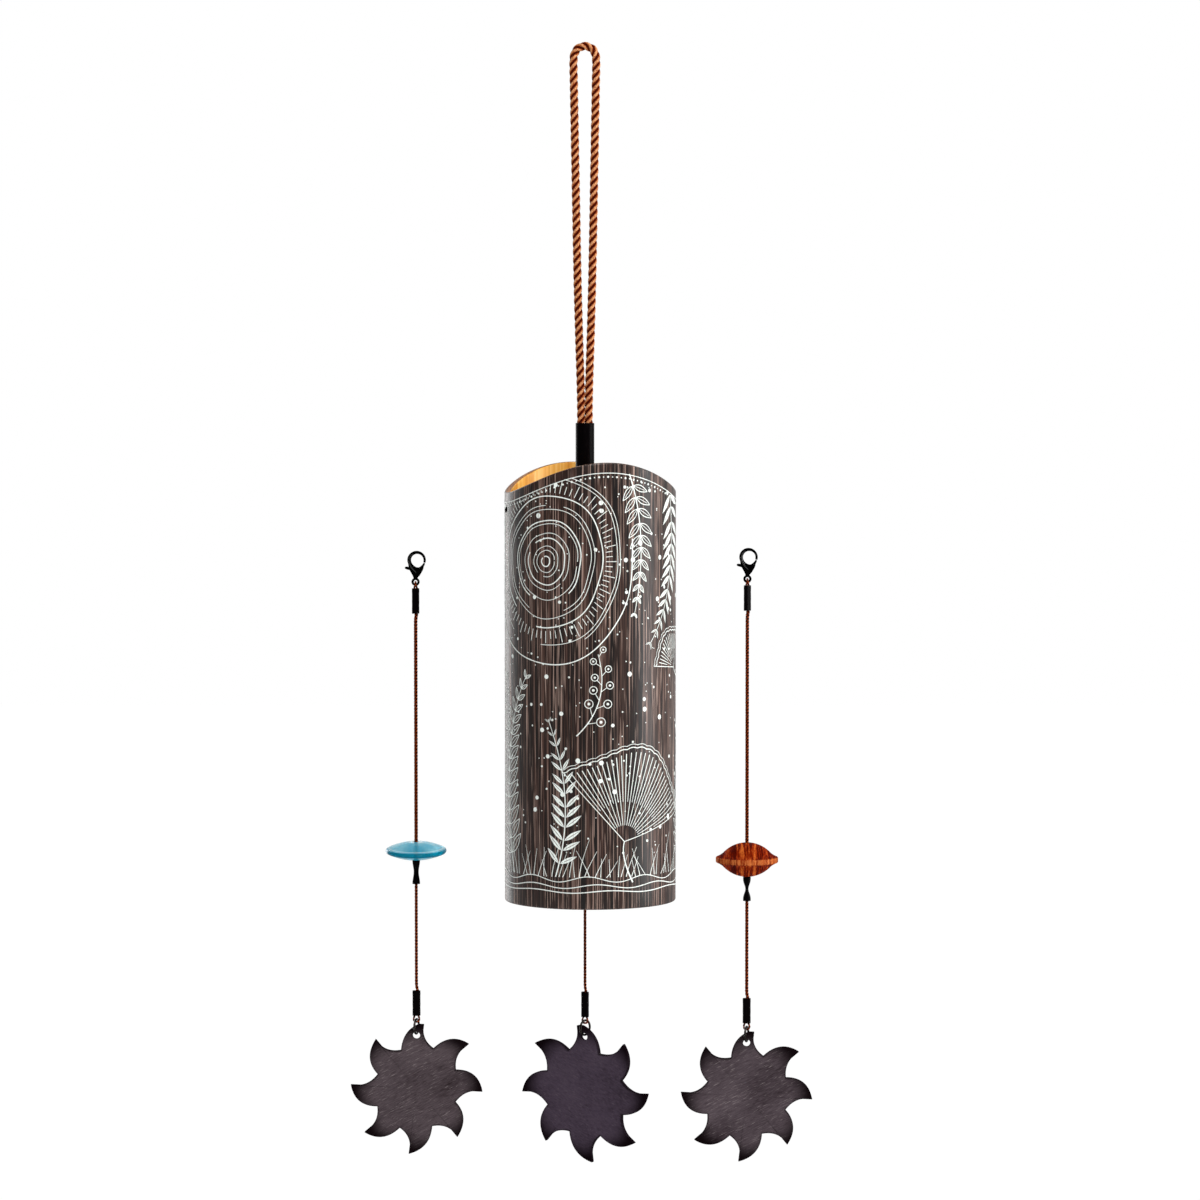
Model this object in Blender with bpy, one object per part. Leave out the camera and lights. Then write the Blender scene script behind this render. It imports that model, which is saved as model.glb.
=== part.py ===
"""Bamboo wind chime on a twisted rope loop, with two spare striker strands hung beside it.

A saddle-cut bamboo tube hangs by a cross pin on the rope. Inside, tuned rods stand on a steel
plate near the lower end. A strand with a striker hangs in the tube from a wire bail and carries
a sun-shaped sail below it. Two more strands, with other strikers, hang at the sides.

Units are metres, +Z is up, +X is to the right of the front view and +Y points away from it.
The origin is the hang point, on the inside of the rope loop's top.
"""

import math

import bmesh
import bpy
from mathutils import Matrix, Vector

MM = 0.001

# Tube
TUBE_OUTER_D = 64.0 * MM
TUBE_WALL = 2.5 * MM
TUBE_LENGTH = 158.6 * MM
SADDLE_RISE = 5.6 * MM
SADDLE_TURN = math.radians(12.0)
RIM_ROUND = 0.6 * MM
HANG_TO_RIM = 158.8 * MM
TUBE_OFF_ROPE = 2.0 * MM

# Cross pin and wire bail
PIN_D = 2.2 * MM
PIN_BELOW_RIM = 11.9 * MM
PIN_CLEARANCE = 0.15 * MM
PIN_RECESS = 0.5 * MM
BAIL_WIRE_D = 1.2 * MM

# Rope and its sleeve
ROPE_D = 2.7 * MM
ROPE_SLEEVE_CLEARANCE = 0.3 * MM
ROPE_SLEEVE_WALL = 0.65 * MM
ROPE_SLEEVE_LENGTH = 21.9 * MM
ROPE_SLEEVE_ABOVE_PIN = 10.2 * MM

# Rod plate, its seat and the tuned rods
PLATE_THICKNESS = 2.0 * MM
PLATE_HOLE_D = 31.0 * MM
PLATE_ABOVE_MOUTH = 5.0 * MM
SEAT_WIDTH = 3.4 * MM
SEAT_HEIGHT = 6.0 * MM
WALL_CLEARANCE = 0.2 * MM
FACE_GAP = 0.1 * MM
ROD_D = 2.5 * MM
ROD_LONGEST = 112.0 * MM
ROD_FOOT_D = 4.2 * MM
ROD_FOOT_HEIGHT = 1.8 * MM
ROD_SEMITONES = (0, 10, 3, 15, 7, 17, 5, 12)
SCREW_COUNT = 3
SCREW_HEAD_D = 3.0 * MM
SCREW_HEAD_HEIGHT = 1.1 * MM
SCREW_SHANK_D = 1.6 * MM
SCREW_LENGTH = 7.0 * MM
SCREW_CLEARANCE = 0.1 * MM
SCREW_SLOT_WIDTH = 0.6 * MM
SCREW_SLOT_DEPTH = 0.5 * MM

# Lobster clasp, measured from the centre of its eye
CLASP_THICKNESS = 2.2 * MM
CLASP_ROUND = 0.3 * MM
HOOK_CENTRE = (0.66 * MM, 8.12 * MM)
HOOK_OPENING_R = 2.35 * MM
HOOK_OUTER_CENTRE = (0.4 * MM, 8.15 * MM)
HOOK_OUTER_R = 3.45 * MM
HOOK_TIP_ANGLE = math.radians(-13.0)
EYE_OUTER_R = 1.45 * MM
EYE_HOLE_R = 0.95 * MM
EYE_THICKNESS = 0.9 * MM
RIVET_PLACE = (0.9 * MM, 4.2 * MM)
RIVET_D = 0.8 * MM
RIVET_HEAD_D = 1.5 * MM
RIVET_HEAD_HEIGHT = 0.15 * MM
RIVET_CLEARANCE = 0.06 * MM
GATE_THICKNESS = 0.9 * MM
GATE_CLEARANCE = 0.15 * MM
HOOK_PIVOT_HEIGHT = 9.35 * MM

# Strands
EYE_BELOW_PIN = 28.0 * MM
LEFT_STRAND_X = -63.4 * MM
RIGHT_STRAND_X = 60.8 * MM
CORD_D = 1.1 * MM
CORD_LEG_OFFSET = 0.57 * MM
SLEEVE_LENGTH = 9.5 * MM
SLEEVE_WALL = 0.22 * MM
SLEEVE_CLEARANCE = 0.08 * MM
UPPER_SLEEVE_BELOW_EYE = 2.4 * MM
LOWER_SLEEVE_ABOVE_LOOP = 1.3 * MM
CRIMP_LENGTH = 9.0 * MM
CRIMP_END_D = 2.6 * MM
CRIMP_BORE_CLEARANCE = 0.1 * MM
CRIMP_WALL_AT_WAIST = 0.22 * MM
STRIKER_BORE_CLEARANCE = 0.2 * MM

# Strikers
LENS_D = 22.8 * MM
LENS_THICKNESS = 6.9 * MM
LENS_RIM = 2.0 * MM
LENS_SWELL = 0.45 * MM
BEAD_D = 23.4 * MM
BEAD_DOME_D = 20.0 * MM
BEAD_HEIGHT = 12.9 * MM
BEAD_RIM = 2.5 * MM

# Jump ring and sail
RING_R = 2.75 * MM
RING_WIRE_D = 0.84 * MM
RING_GAP = 0.17 * MM
SAIL_TIP_R = 24.9 * MM
SAIL_VALLEY_R = 15.9 * MM
SAIL_THICKNESS = 2.0 * MM
SAIL_RAYS = 8
SAIL_TIP_TURN = math.radians(5.0)
SAIL_FALL_ANGLE = math.radians(16.5)
SAIL_RISE_BULGE = 2.6 * MM
SAIL_FALL_HOLLOW = 1.8 * MM
SAIL_HOLE_D = 2.8 * MM
SAIL_HOLE_BELOW_TIP = 4.9 * MM
SAIL_LEAN = 0.035

# Values worked out from the sizes above
TUBE_R = TUBE_OUTER_D / 2
TUBE_INNER_R = TUBE_R - TUBE_WALL
RIM_Z = -HANG_TO_RIM
MOUTH_Z = RIM_Z - TUBE_LENGTH
PIN_Z = RIM_Z - PIN_BELOW_RIM
SEAT_OUTER_R = TUBE_INNER_R - WALL_CLEARANCE
SEAT_INNER_R = SEAT_OUTER_R - SEAT_WIDTH
PLATE_BOTTOM_Z = MOUTH_Z + PLATE_ABOVE_MOUTH
PLATE_TOP_Z = PLATE_BOTTOM_Z + PLATE_THICKNESS
ROD_CIRCLE_R = (PLATE_HOLE_D / 2 + SEAT_INNER_R) / 2
SCREW_CIRCLE_R = (SEAT_INNER_R + SEAT_OUTER_R) / 2
EYE_Z = PIN_Z - EYE_BELOW_PIN
EYE_WIRE_Z = -(EYE_OUTER_R + EYE_HOLE_R) / 2
CORD_R = CORD_D / 2
MAIN_YAW = SADDLE_TURN + math.pi / 2
TUBE_AXIS = Vector((math.cos(SADDLE_TURN), math.sin(SADDLE_TURN), 0.0)) * TUBE_OFF_ROPE
SMOOTH_ANGLE = math.radians(35.0)

# The rope's route: distance of the leg from the axis, turn of the legs' plane in degrees and
# height, in millimetres. It starts inside the sleeve and goes round the pin, with heights above
# the pin, then over the top, with heights above the hang point, and back into the sleeve.
ROPE_ROUND_PIN = (
    (1.40, -52, 20.4), (1.40, -70, 15.2), (1.42, -78, 10.7), (1.95, -78, 5.2),
    (2.75, -78, 0.0), (1.94, -78, -1.94), (0.00, -78, -2.75), (-1.94, -78, -1.94),
    (-2.75, -78, 0.0), (-1.95, -78, 5.2), (-1.42, -78, 10.7), (-1.40, -70, 15.2),
    (-1.40, -50, 20.9), (-1.40, -20, 26.7), (-1.40, -3, 31.7),
)
ROPE_OVER_TOP = (
    (-1.42, 0, -133.0), (-1.60, 0, -124.0), (-2.05, 0, -110.0), (-2.72, 0, -85.7),
    (-3.50, 0, -45.0), (-4.10, 0, -12.0), (-4.15, 0, -2.8), (-2.93, 0, 0.18), (0.00, 0, 1.40),
    (2.93, 0, 0.18), (4.15, 0, -2.8), (4.10, 0, -12.0), (3.50, 0, -45.0), (2.72, 0, -85.7),
    (2.05, 0, -110.0), (1.60, 0, -124.0), (1.42, 0, -133.0),
)
ROPE_TO_SLEEVE = ((1.40, -3, 31.7), (1.40, -20, 26.7), (1.40, -48, 21.2))

# The bail's route on one side, along the pin, across it and above it, in millimetres
BAIL_ROUTE = (
    (-2.75, -1.95, -4.5), (-2.75, -1.95, -2.0), (-2.75, -1.95, 0.0), (-2.75, -1.38, 1.38),
    (-2.75, 0.00, 1.95), (-2.75, 1.38, 1.38), (-2.75, 1.95, 0.0), (-2.75, 1.80, -3.0),
    (-2.75, 1.10, -7.0), (-2.75, 0.30, -11.0), (-2.70, 0.00, -14.0), (-2.45, 0.00, -16.6),
    (-1.70, 0.00, -18.1), (0.00, 0.00, -18.65),
)

# The cord's loop through the clasp's eye: distance from the axis, turn of the legs' plane from
# the clasp's face in degrees and height from the eye's centre, in millimetres, from the tail in
# the sleeve round to the leg that runs on
EYE_LEGS_TURN = 40
EYE_LOOP = (
    (-0.57, 40, -10.3), (-0.57, 40, -7.0), (-0.57, 40, -4.2), (-0.57, 40, -2.9),
    (-0.59, 43, -2.3), (-0.88, 68, -1.75), (-1.14, 90, -1.15), (-0.81, 90, -0.39),
    (0.00, 90, -0.06), (0.81, 90, -0.39), (1.14, 90, -1.15), (0.88, 68, -1.75),
    (0.59, 43, -2.3), (0.57, 40, -2.9), (0.57, 40, -4.2), (0.57, 40, -7.0),
    (0.57, 40, -10.3), (0.35, 40, -12.2), (0.05, 40, -14.0), (0.00, 40, -16.0),
)

# The cord's loop round the jump ring, measured from the ring's topmost wire in the same way,
# from the leg that comes down to the tail in the sleeve
RING_LOOP = (
    (0.00, 16.3), (0.00, 14.5), (0.05, 12.7), (0.35, 11.0), (0.57, 9.1), (0.57, 5.8),
    (0.57, 2.9), (0.57, 1.6), (0.84, 0.9), (1.07, 0.1), (0.76, -0.76), (0.00, -1.07),
    (-0.76, -0.76), (-1.07, 0.1), (-0.84, 0.9), (-0.57, 1.6), (-0.57, 2.9), (-0.57, 5.8),
    (-0.57, 8.7),
)

# Each strand: where it hangs, how far its eye lies above the main one's, how its clasp is turned,
# the striker it carries, how far below the pin the striker's crimp begins and the ring's topmost
# wire lies, how its sail faces and how large it is
STRANDS = {
    "main": {"x": 0.0, "eye_rise": 0.0, "yaw": MAIN_YAW, "striker": "lens",
             "finish": "dark_wood", "seat_drop": 132.1 * MM, "loop_drop": 192.4 * MM,
             "waist": 0.18 * MM, "sail_yaw": math.radians(-25.0), "sail_scale": 1.05, "hand": -1},
    "left": {"x": LEFT_STRAND_X, "eye_rise": 0.7 * MM, "yaw": 0.0, "striker": "lens",
             "finish": "acrylic", "seat_drop": 131.8 * MM, "loop_drop": 191.9 * MM,
             "waist": 0.18 * MM, "sail_yaw": 0.0, "sail_scale": 1.0, "hand": 1},
    "right": {"x": RIGHT_STRAND_X, "eye_rise": 1.8 * MM, "yaw": 0.0, "striker": "bead",
              "finish": "red_wood", "seat_drop": 138.2 * MM, "loop_drop": 194.8 * MM,
              "waist": 0.0, "sail_yaw": 0.0, "sail_scale": 1.0, "hand": 1},
}
RING_TURN = math.radians(-15.0)

# Finishes: colour, roughness, metallic value and transmission
FINISHES = {
    "rope": ((0.43, 0.16, 0.05), 0.55, 0.0, 0.0),
    "cord": ((0.16, 0.04, 0.01), 0.65, 0.0, 0.0),
    "black_sleeve": ((0.006, 0.005, 0.005), 0.32, 0.0, 0.0),
    "stained_bamboo": ((0.05, 0.028, 0.02), 0.38, 0.0, 0.0),
    "pale_bamboo": ((0.62, 0.36, 0.1), 0.5, 0.0, 0.0),
    "steel": ((0.62, 0.62, 0.63), 0.28, 1.0, 0.0),
    "black_metal": ((0.012, 0.011, 0.011), 0.25, 0.6, 0.0),
    "gunmetal": ((0.09, 0.085, 0.085), 0.3, 1.0, 0.0),
    "acrylic": ((0.1, 0.42, 0.56), 0.08, 0.0, 0.6),
    "red_wood": ((0.3, 0.08, 0.025), 0.4, 0.0, 0.0),
    "dark_wood": ((0.05, 0.036, 0.038), 0.6, 0.0, 0.0),
}


def clear_scene():
    for obj in list(bpy.data.objects):
        bpy.data.objects.remove(obj, do_unlink=True)


def make_finish(name):
    colour, roughness, metallic, transmission = FINISHES[name]
    finish = bpy.data.materials.get(name) or bpy.data.materials.new(name)
    finish.use_nodes = True
    shader = finish.node_tree.nodes["Principled BSDF"]
    shader.inputs["Base Color"].default_value = (*colour, 1.0)
    shader.inputs["Roughness"].default_value = roughness
    shader.inputs["Metallic"].default_value = metallic
    shader.inputs["Transmission Weight"].default_value = transmission
    return finish


def add_object(name, data, finish=None):
    obj = bpy.data.objects.new(name, data)
    bpy.context.collection.objects.link(obj)
    if finish:
        data.materials.append(make_finish(finish))
    return obj


def add_mesh(name, bm, finish=None):
    """Close a bmesh into a named, smoothly shaded object with its faces turned outwards."""
    bmesh.ops.recalc_face_normals(bm, faces=bm.faces)
    mesh = bpy.data.meshes.new(name)
    bm.to_mesh(mesh)
    bm.free()
    mesh.shade_smooth()
    mesh.set_sharp_from_angle(angle=SMOOTH_ANGLE)
    return add_object(name, mesh, finish)


def add_pivot(name, place, yaw=0.0, parent=None):
    """An empty on a joint's axis, which the pieces that turn or slide there hang from."""
    empty = bpy.data.objects.new(name, None)
    empty.empty_display_size = 5 * MM
    bpy.context.collection.objects.link(empty)
    attach(empty, parent, place, yaw)
    return empty


def attach(obj, parent, place=(0.0, 0.0, 0.0), yaw=0.0):
    """Place an object in the world and hang it from a pivot without moving it."""
    obj.location = place
    obj.rotation_euler = (0.0, 0.0, yaw)
    if parent:
        bpy.context.view_layer.update()
        obj.parent = parent
        obj.matrix_parent_inverse = parent.matrix_world.inverted()
    return obj


def turned(name, profile, finish=None, steps=32):
    """Spin a profile of (radius, height) points about Z.

    A profile whose ends lie on the axis gives a solid, any other is a closed section of a ring.
    """
    bm = bmesh.new()
    verts = [bm.verts.new((radius, 0.0, height)) for radius, height in profile]
    solid = profile[0][0] == 0.0 and profile[-1][0] == 0.0
    pairs = list(zip(verts, verts[1:]))
    if not solid:
        pairs.append((verts[-1], verts[0]))
    edges = [bm.edges.new(pair) for pair in pairs]
    bmesh.ops.spin(bm, geom=verts + edges, axis=(0, 0, 1), cent=(0, 0, 0),
                   steps=steps, angle=math.tau, use_merge=True)
    bmesh.ops.remove_doubles(bm, verts=bm.verts, dist=0.001 * MM)
    return add_mesh(name, bm, finish)


def lofted(name, rings, finish=None):
    """Skin a closed chain of equal rings, the last one joined back to the first."""
    bm = bmesh.new()
    loops = [[bm.verts.new(point) for point in ring] for ring in rings]
    for lower, upper in zip(loops, loops[1:] + loops[:1]):
        for i in range(len(lower)):
            j = (i + 1) % len(lower)
            bm.faces.new((lower[i], lower[j], upper[j], upper[i]))
    return add_mesh(name, bm, finish)


def plate(name, outline, thickness, finish=None, round_edge=0.0):
    """Extrude an outline of (across, up) points to a plate that is centred on the XZ plane."""
    bm = bmesh.new()
    face = bm.faces.new([bm.verts.new((x, -thickness / 2, z)) for x, z in outline])
    swept = bmesh.ops.extrude_face_region(bm, geom=[face])
    moved = [item for item in swept["geom"] if isinstance(item, bmesh.types.BMVert)]
    bmesh.ops.translate(bm, verts=moved, vec=(0.0, thickness, 0.0))
    if round_edge:
        rims = [edge for edge in bm.edges if abs(edge.verts[0].co.y - edge.verts[1].co.y) < MM / 1000]
        bmesh.ops.bevel(bm, geom=rims, offset=round_edge, segments=1, profile=0.5, affect="EDGES")
    return add_mesh(name, bm, finish)


def cylinder(name, radius, length, finish=None, sides=16, chamfer=0.0):
    """A cylinder along Z, centred on its origin, with its end edges cut back by the chamfer."""
    half = length / 2
    profile = [(0.0, half), (radius - chamfer, half), (radius, half - chamfer),
               (radius, chamfer - half), (radius - chamfer, -half), (0.0, -half)]
    if not chamfer:
        profile = [(0.0, half), (radius, half), (radius, -half), (0.0, -half)]
    return turned(name, profile, finish, sides)


def box(name, size, place):
    bm = bmesh.new()
    bmesh.ops.create_cube(bm, size=1.0)
    bmesh.ops.scale(bm, vec=size, verts=bm.verts)
    bmesh.ops.translate(bm, vec=place, verts=bm.verts)
    return add_mesh(name, bm)


def turn_mesh(obj, axis, angle, place=(0.0, 0.0, 0.0)):
    """Turn a piece's mesh about one of its own axes and then shift it."""
    obj.data.transform(Matrix.Translation(place) @ Matrix.Rotation(angle, 4, axis))
    return obj


def combine(obj, others, operation):
    """Join or cut an object by others with exact Booleans, then drop the others."""
    for other in others:
        step = obj.modifiers.new(other.name, "BOOLEAN")
        step.operation = operation
        step.object = other
        step.solver = "EXACT"
    graph = bpy.context.evaluated_depsgraph_get()
    result = bpy.data.meshes.new_from_object(obj.evaluated_get(graph))
    obj.modifiers.clear()
    old = obj.data
    obj.data = result
    bpy.data.meshes.remove(old)
    for other in others:
        bpy.data.objects.remove(other, do_unlink=True)
    obj.data.shade_smooth()
    obj.data.set_sharp_from_angle(angle=SMOOTH_ANGLE)
    return obj


def arc(centre, radius, start, end, count):
    """Points on a circle from one angle to another, both ends included."""
    angles = [start + (end - start) * i / (count - 1) for i in range(count)]
    return [(centre[0] + radius * math.cos(a), centre[1] + radius * math.sin(a)) for a in angles]


def bow(start, end, rise, count):
    """Points inside a shallow arc between two points, which rises to the left of its chord."""
    chord = Vector(end) - Vector(start)
    side = Vector((-chord.y, chord.x)).normalized()
    points = []
    for i in range(1, count + 1):
        t = i / (count + 1)
        points.append(tuple(Vector(start) + chord * t + side * rise * 4 * t * (1 - t)))
    return points


def smooth_route(route, spacing, bend=math.pi):
    """A smooth curve through a route's points, with about one point in each spacing and bend."""
    points = [Vector(point) for point in route]
    ends = [points[0] * 2 - points[1]] + points + [points[-1] * 2 - points[-2]]
    result = []
    for before, start, end, after in zip(ends, ends[1:], ends[2:], ends[3:]):
        turns = (start - before).angle(end - start) + (end - start).angle(after - end)
        steps = max(1, round((end - start).length / spacing), round(turns / 2 / bend))
        leave = (end - before) * min(0.5, 0.5 * (end - start).length / (start - before).length)
        arrive = (after - start) * min(0.5, 0.5 * (end - start).length / (after - end).length)
        for i in range(steps):
            t = i / steps
            result.append(start * (2 * t ** 3 - 3 * t ** 2 + 1) + leave * (t ** 3 - 2 * t ** 2 + t)
                          + end * (3 * t ** 2 - 2 * t ** 3) + arrive * (t ** 3 - t ** 2))
    return result + [points[-1]]


def wire(name, points, diameter, finish):
    """A round tube with filled ends along a chain of points."""
    curve = bpy.data.curves.new(name, "CURVE")
    curve.dimensions = "3D"
    curve.bevel_depth = diameter / 2
    curve.bevel_resolution = 2
    curve.use_fill_caps = True
    spline = curve.splines.new("POLY")
    spline.points.add(len(points) - 1)
    for spot, point in zip(spline.points, points):
        spot.co = (*point, 1.0)
    return add_object(name, curve, finish)


def turned_point(offset, degrees, height):
    """A route's point from its distance to the axis, its turn and its height in millimetres."""
    turn = math.radians(degrees)
    return Vector((offset * math.cos(turn), offset * math.sin(turn), height)) * MM


def make_rope():
    """The hanging loop, whose legs turn inside the sleeve to pass on either side of the pin."""
    route = []
    for stretch, level in ((ROPE_ROUND_PIN, PIN_Z), (ROPE_OVER_TOP, 0.0), (ROPE_TO_SLEEVE, PIN_Z)):
        route += [turned_point(*point) + Vector((0.0, 0.0, level)) for point in stretch]
    wire("hanging_rope", smooth_route(route, 4 * ROPE_D, math.radians(18.0)), ROPE_D, "rope")


def make_rope_sleeve():
    bore = ROPE_D + ROPE_SLEEVE_CLEARANCE / 2
    outer = bore + ROPE_SLEEVE_WALL
    lip = 0.2 * MM
    profile = [(bore, 0.0), (outer - lip, 0.0), (outer, -lip), (outer, lip - ROPE_SLEEVE_LENGTH),
               (outer - lip, -ROPE_SLEEVE_LENGTH), (bore, -ROPE_SLEEVE_LENGTH)]
    sleeve = turned("rope_sleeve", profile, "black_sleeve", 24)
    top = PIN_Z + ROPE_SLEEVE_ABOVE_PIN + ROPE_SLEEVE_LENGTH
    attach(sleeve, None, (0.0, 0.0, top))


def rim_height(x, y):
    """Height of the saddle-cut rim above its mean, highest a little right of the front."""
    around = math.atan2(x, -y)
    return SADDLE_RISE * math.cos(2 * (around - SADDLE_TURN))


def make_tube(pivot):
    """The tube is turned straight, then its upper edge is lifted and lowered to the saddle."""
    cut = RIM_ROUND
    half = TUBE_LENGTH / 2
    profile = [(TUBE_R - cut, half), (TUBE_R, half - cut), (TUBE_R, cut - half),
               (TUBE_R - cut, -half), (TUBE_INNER_R + cut, -half), (TUBE_INNER_R, cut - half),
               (TUBE_INNER_R, half - cut), (TUBE_INNER_R + cut, half)]
    tube = turned("bamboo_tube", profile, "stained_bamboo", 48)
    for vert in tube.data.vertices:
        if vert.co.z > 0.0:
            vert.co.z += rim_height(vert.co.x, vert.co.y)
    drill = cylinder("pin_drill", PIN_D / 2 + PIN_CLEARANCE, TUBE_OUTER_D * 2, sides=14)
    turn_mesh(drill, "Y", math.pi / 2, (0.0, 0.0, half - PIN_BELOW_RIM))
    turn_mesh(drill, "Z", SADDLE_TURN)
    combine(tube, [drill], "DIFFERENCE")
    attach(tube, pivot, TUBE_AXIS + Vector((0.0, 0.0, RIM_Z - half)))


def make_pin(pivot):
    length = TUBE_OUTER_D - 2 * PIN_RECESS
    pin = cylinder("cross_pin", PIN_D / 2, length, "steel", 16, 0.2 * MM)
    turn_mesh(pin, "Y", math.pi / 2)
    attach(pin, pivot, TUBE_AXIS + Vector((0.0, 0.0, PIN_Z)), SADDLE_TURN)


def make_bail(pivot):
    """A wire that hooks over the pin on both sides of the rope and drops to a rounded U."""
    far_side = [(-along, across, up) for along, across, up in reversed(BAIL_ROUTE[:-1])]
    route = [Vector(point) * MM for point in list(BAIL_ROUTE) + far_side]
    bail = wire("strand_bail", smooth_route(route, 2 * BAIL_WIRE_D), BAIL_WIRE_D, "steel")
    attach(bail, pivot, (0.0, 0.0, PIN_Z), SADDLE_TURN)


def around_circle(radius, index, count, start=0.0):
    turn = start + math.tau * index / count
    return Vector((radius * math.cos(turn), radius * math.sin(turn), 0.0)), turn


def screw_drills(name, radius):
    """Cutters for the plate's or the seat's screw holes, one on each screw's axis."""
    drills = []
    for i in range(SCREW_COUNT):
        spot, _ = around_circle(SCREW_CIRCLE_R, i, SCREW_COUNT, SADDLE_TURN)
        drill = cylinder(f"{name}_drill_{i}", radius, 4 * SCREW_LENGTH, sides=8)
        drills.append(turn_mesh(drill, "Z", 0.0, spot))
    return drills


def make_plate_and_seat(pivot):
    """The steel plate is drawn up by screws against a bamboo ring that is glued in the tube."""
    bevel = 0.3 * MM
    hole = PLATE_HOLE_D / 2
    outer = SEAT_OUTER_R
    top = PLATE_THICKNESS
    profile = [(hole, bevel), (hole, top - bevel), (hole + bevel, top), (outer - bevel, top),
               (outer, top - bevel), (outer, bevel), (outer - bevel, 0.0), (hole + bevel, 0.0)]
    rod_plate = turned("rod_plate", profile, "steel", 32)
    combine(rod_plate, screw_drills("plate", SCREW_SHANK_D / 2 + SCREW_CLEARANCE), "DIFFERENCE")
    attach(rod_plate, pivot, TUBE_AXIS + Vector((0.0, 0.0, PLATE_BOTTOM_Z)))

    section = [(SEAT_INNER_R, SEAT_HEIGHT), (SEAT_OUTER_R, SEAT_HEIGHT), (SEAT_OUTER_R, 0.0),
               (SEAT_INNER_R, 0.0)]
    seat = turned("plate_seat_ring", section, "pale_bamboo", 32)
    combine(seat, screw_drills("seat", SCREW_SHANK_D / 2 + SCREW_CLEARANCE), "DIFFERENCE")
    attach(seat, pivot, TUBE_AXIS + Vector((0.0, 0.0, PLATE_TOP_Z + FACE_GAP)))


def make_rods(pivot):
    """Rods soldered upright to the plate. A bar's pitch falls with its length squared."""
    count = len(ROD_SEMITONES)
    for i, semitones in enumerate(ROD_SEMITONES):
        length = ROD_LONGEST * 2 ** (-semitones / 24)
        radius = ROD_D / 2
        foot = ROD_FOOT_D / 2
        bevel = 0.25 * MM
        profile = [(0.0, length), (radius - bevel, length), (radius, length - bevel),
                   (radius, ROD_FOOT_HEIGHT), ((radius + foot) / 2, ROD_FOOT_HEIGHT / 3),
                   (foot, 0.0), (0.0, 0.0)]
        rod = turned(f"chime_rod_{i + 1}", profile, "steel", 10)
        spot, _ = around_circle(ROD_CIRCLE_R, i, count, SADDLE_TURN + math.pi / count)
        attach(rod, pivot, TUBE_AXIS + spot + Vector((0.0, 0.0, PLATE_TOP_Z + FACE_GAP)))


def make_screws(pivot):
    """Round-headed screws that come up through the plate into the seat ring."""
    head = SCREW_HEAD_D / 2
    shank = SCREW_SHANK_D / 2
    drop = -SCREW_HEAD_HEIGHT
    profile = [(0.0, SCREW_LENGTH), (shank * 0.4, SCREW_LENGTH), (shank, SCREW_LENGTH - shank),
               (shank, 0.0), (head, 0.0), (head, drop * 0.35), (head * 0.72, drop * 0.85),
               (0.0, drop)]
    for i in range(SCREW_COUNT):
        screw = turned(f"plate_screw_{i + 1}", profile, "steel", 10)
        slot = box("slot", (2 * SCREW_HEAD_D, SCREW_SLOT_WIDTH, 2 * SCREW_SLOT_DEPTH), (0, 0, drop))
        combine(screw, [slot], "DIFFERENCE")
        spot, turn = around_circle(SCREW_CIRCLE_R, i, SCREW_COUNT, SADDLE_TURN)
        attach(screw, pivot, TUBE_AXIS + spot + Vector((0.0, 0.0, PLATE_BOTTOM_Z - FACE_GAP)), turn)


def clasp_outline():
    """The claw and body of the clasp.

    Two circles that share no centre bound the claw, so it thins towards its tip. The body
    below narrows to the neck over the eye.
    """
    tip = HOOK_TIP_ANGLE
    outside = arc(HOOK_OUTER_CENTRE, HOOK_OUTER_R, tip, math.radians(205.0), 11)
    left = [(-2.55 * MM, 5.2 * MM), (-2.1 * MM, 4.2 * MM), (-1.05 * MM, 2.3 * MM)]
    neck = [(-0.78 * MM, EYE_OUTER_R + 0.1 * MM), (-0.7 * MM, EYE_HOLE_R + 0.2 * MM),
            (0.7 * MM, EYE_HOLE_R + 0.2 * MM), (0.8 * MM, EYE_OUTER_R + 0.1 * MM)]
    right = [(1.3 * MM, 2.3 * MM), (2.6 * MM, 4.2 * MM), (3.05 * MM, 5.2 * MM),
             (2.95 * MM, 5.85 * MM)]
    inside = arc(HOOK_CENTRE, HOOK_OPENING_R, math.radians(-55.0), tip - math.tau, 12)
    return outside + left + neck + right + inside


def make_clasp_body(name, pivot, place, yaw):
    """A die-cast body: the claw with a slot for the gate, and a cast eye below it."""
    body = plate(name, clasp_outline(), CLASP_THICKNESS, "black_metal", CLASP_ROUND)
    half = EYE_THICKNESS / 2
    soft = 0.2 * MM
    section = [(EYE_HOLE_R, soft - half), (EYE_HOLE_R, half - soft), (EYE_HOLE_R + soft, half),
               (EYE_OUTER_R - soft, half), (EYE_OUTER_R, half - soft), (EYE_OUTER_R, soft - half),
               (EYE_OUTER_R - soft, -half), (EYE_HOLE_R + soft, -half)]
    eye = turn_mesh(turned("eye", section, None, 12), "X", math.pi / 2)
    combine(body, [eye], "UNION")
    slot_width = GATE_THICKNESS + 2 * GATE_CLEARANCE
    slot = box("gate_slot", (9.0 * MM, slot_width, 4.4 * MM), (0.0, 0.0, 4.7 * MM))
    drill = cylinder("rivet_drill", RIVET_D / 2 + RIVET_CLEARANCE, 3 * CLASP_THICKNESS, sides=10)
    turn_mesh(drill, "X", math.pi / 2, (RIVET_PLACE[0], 0.0, RIVET_PLACE[1]))
    combine(body, [slot, drill], "DIFFERENCE")
    attach(body, pivot, place, yaw)


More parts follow.
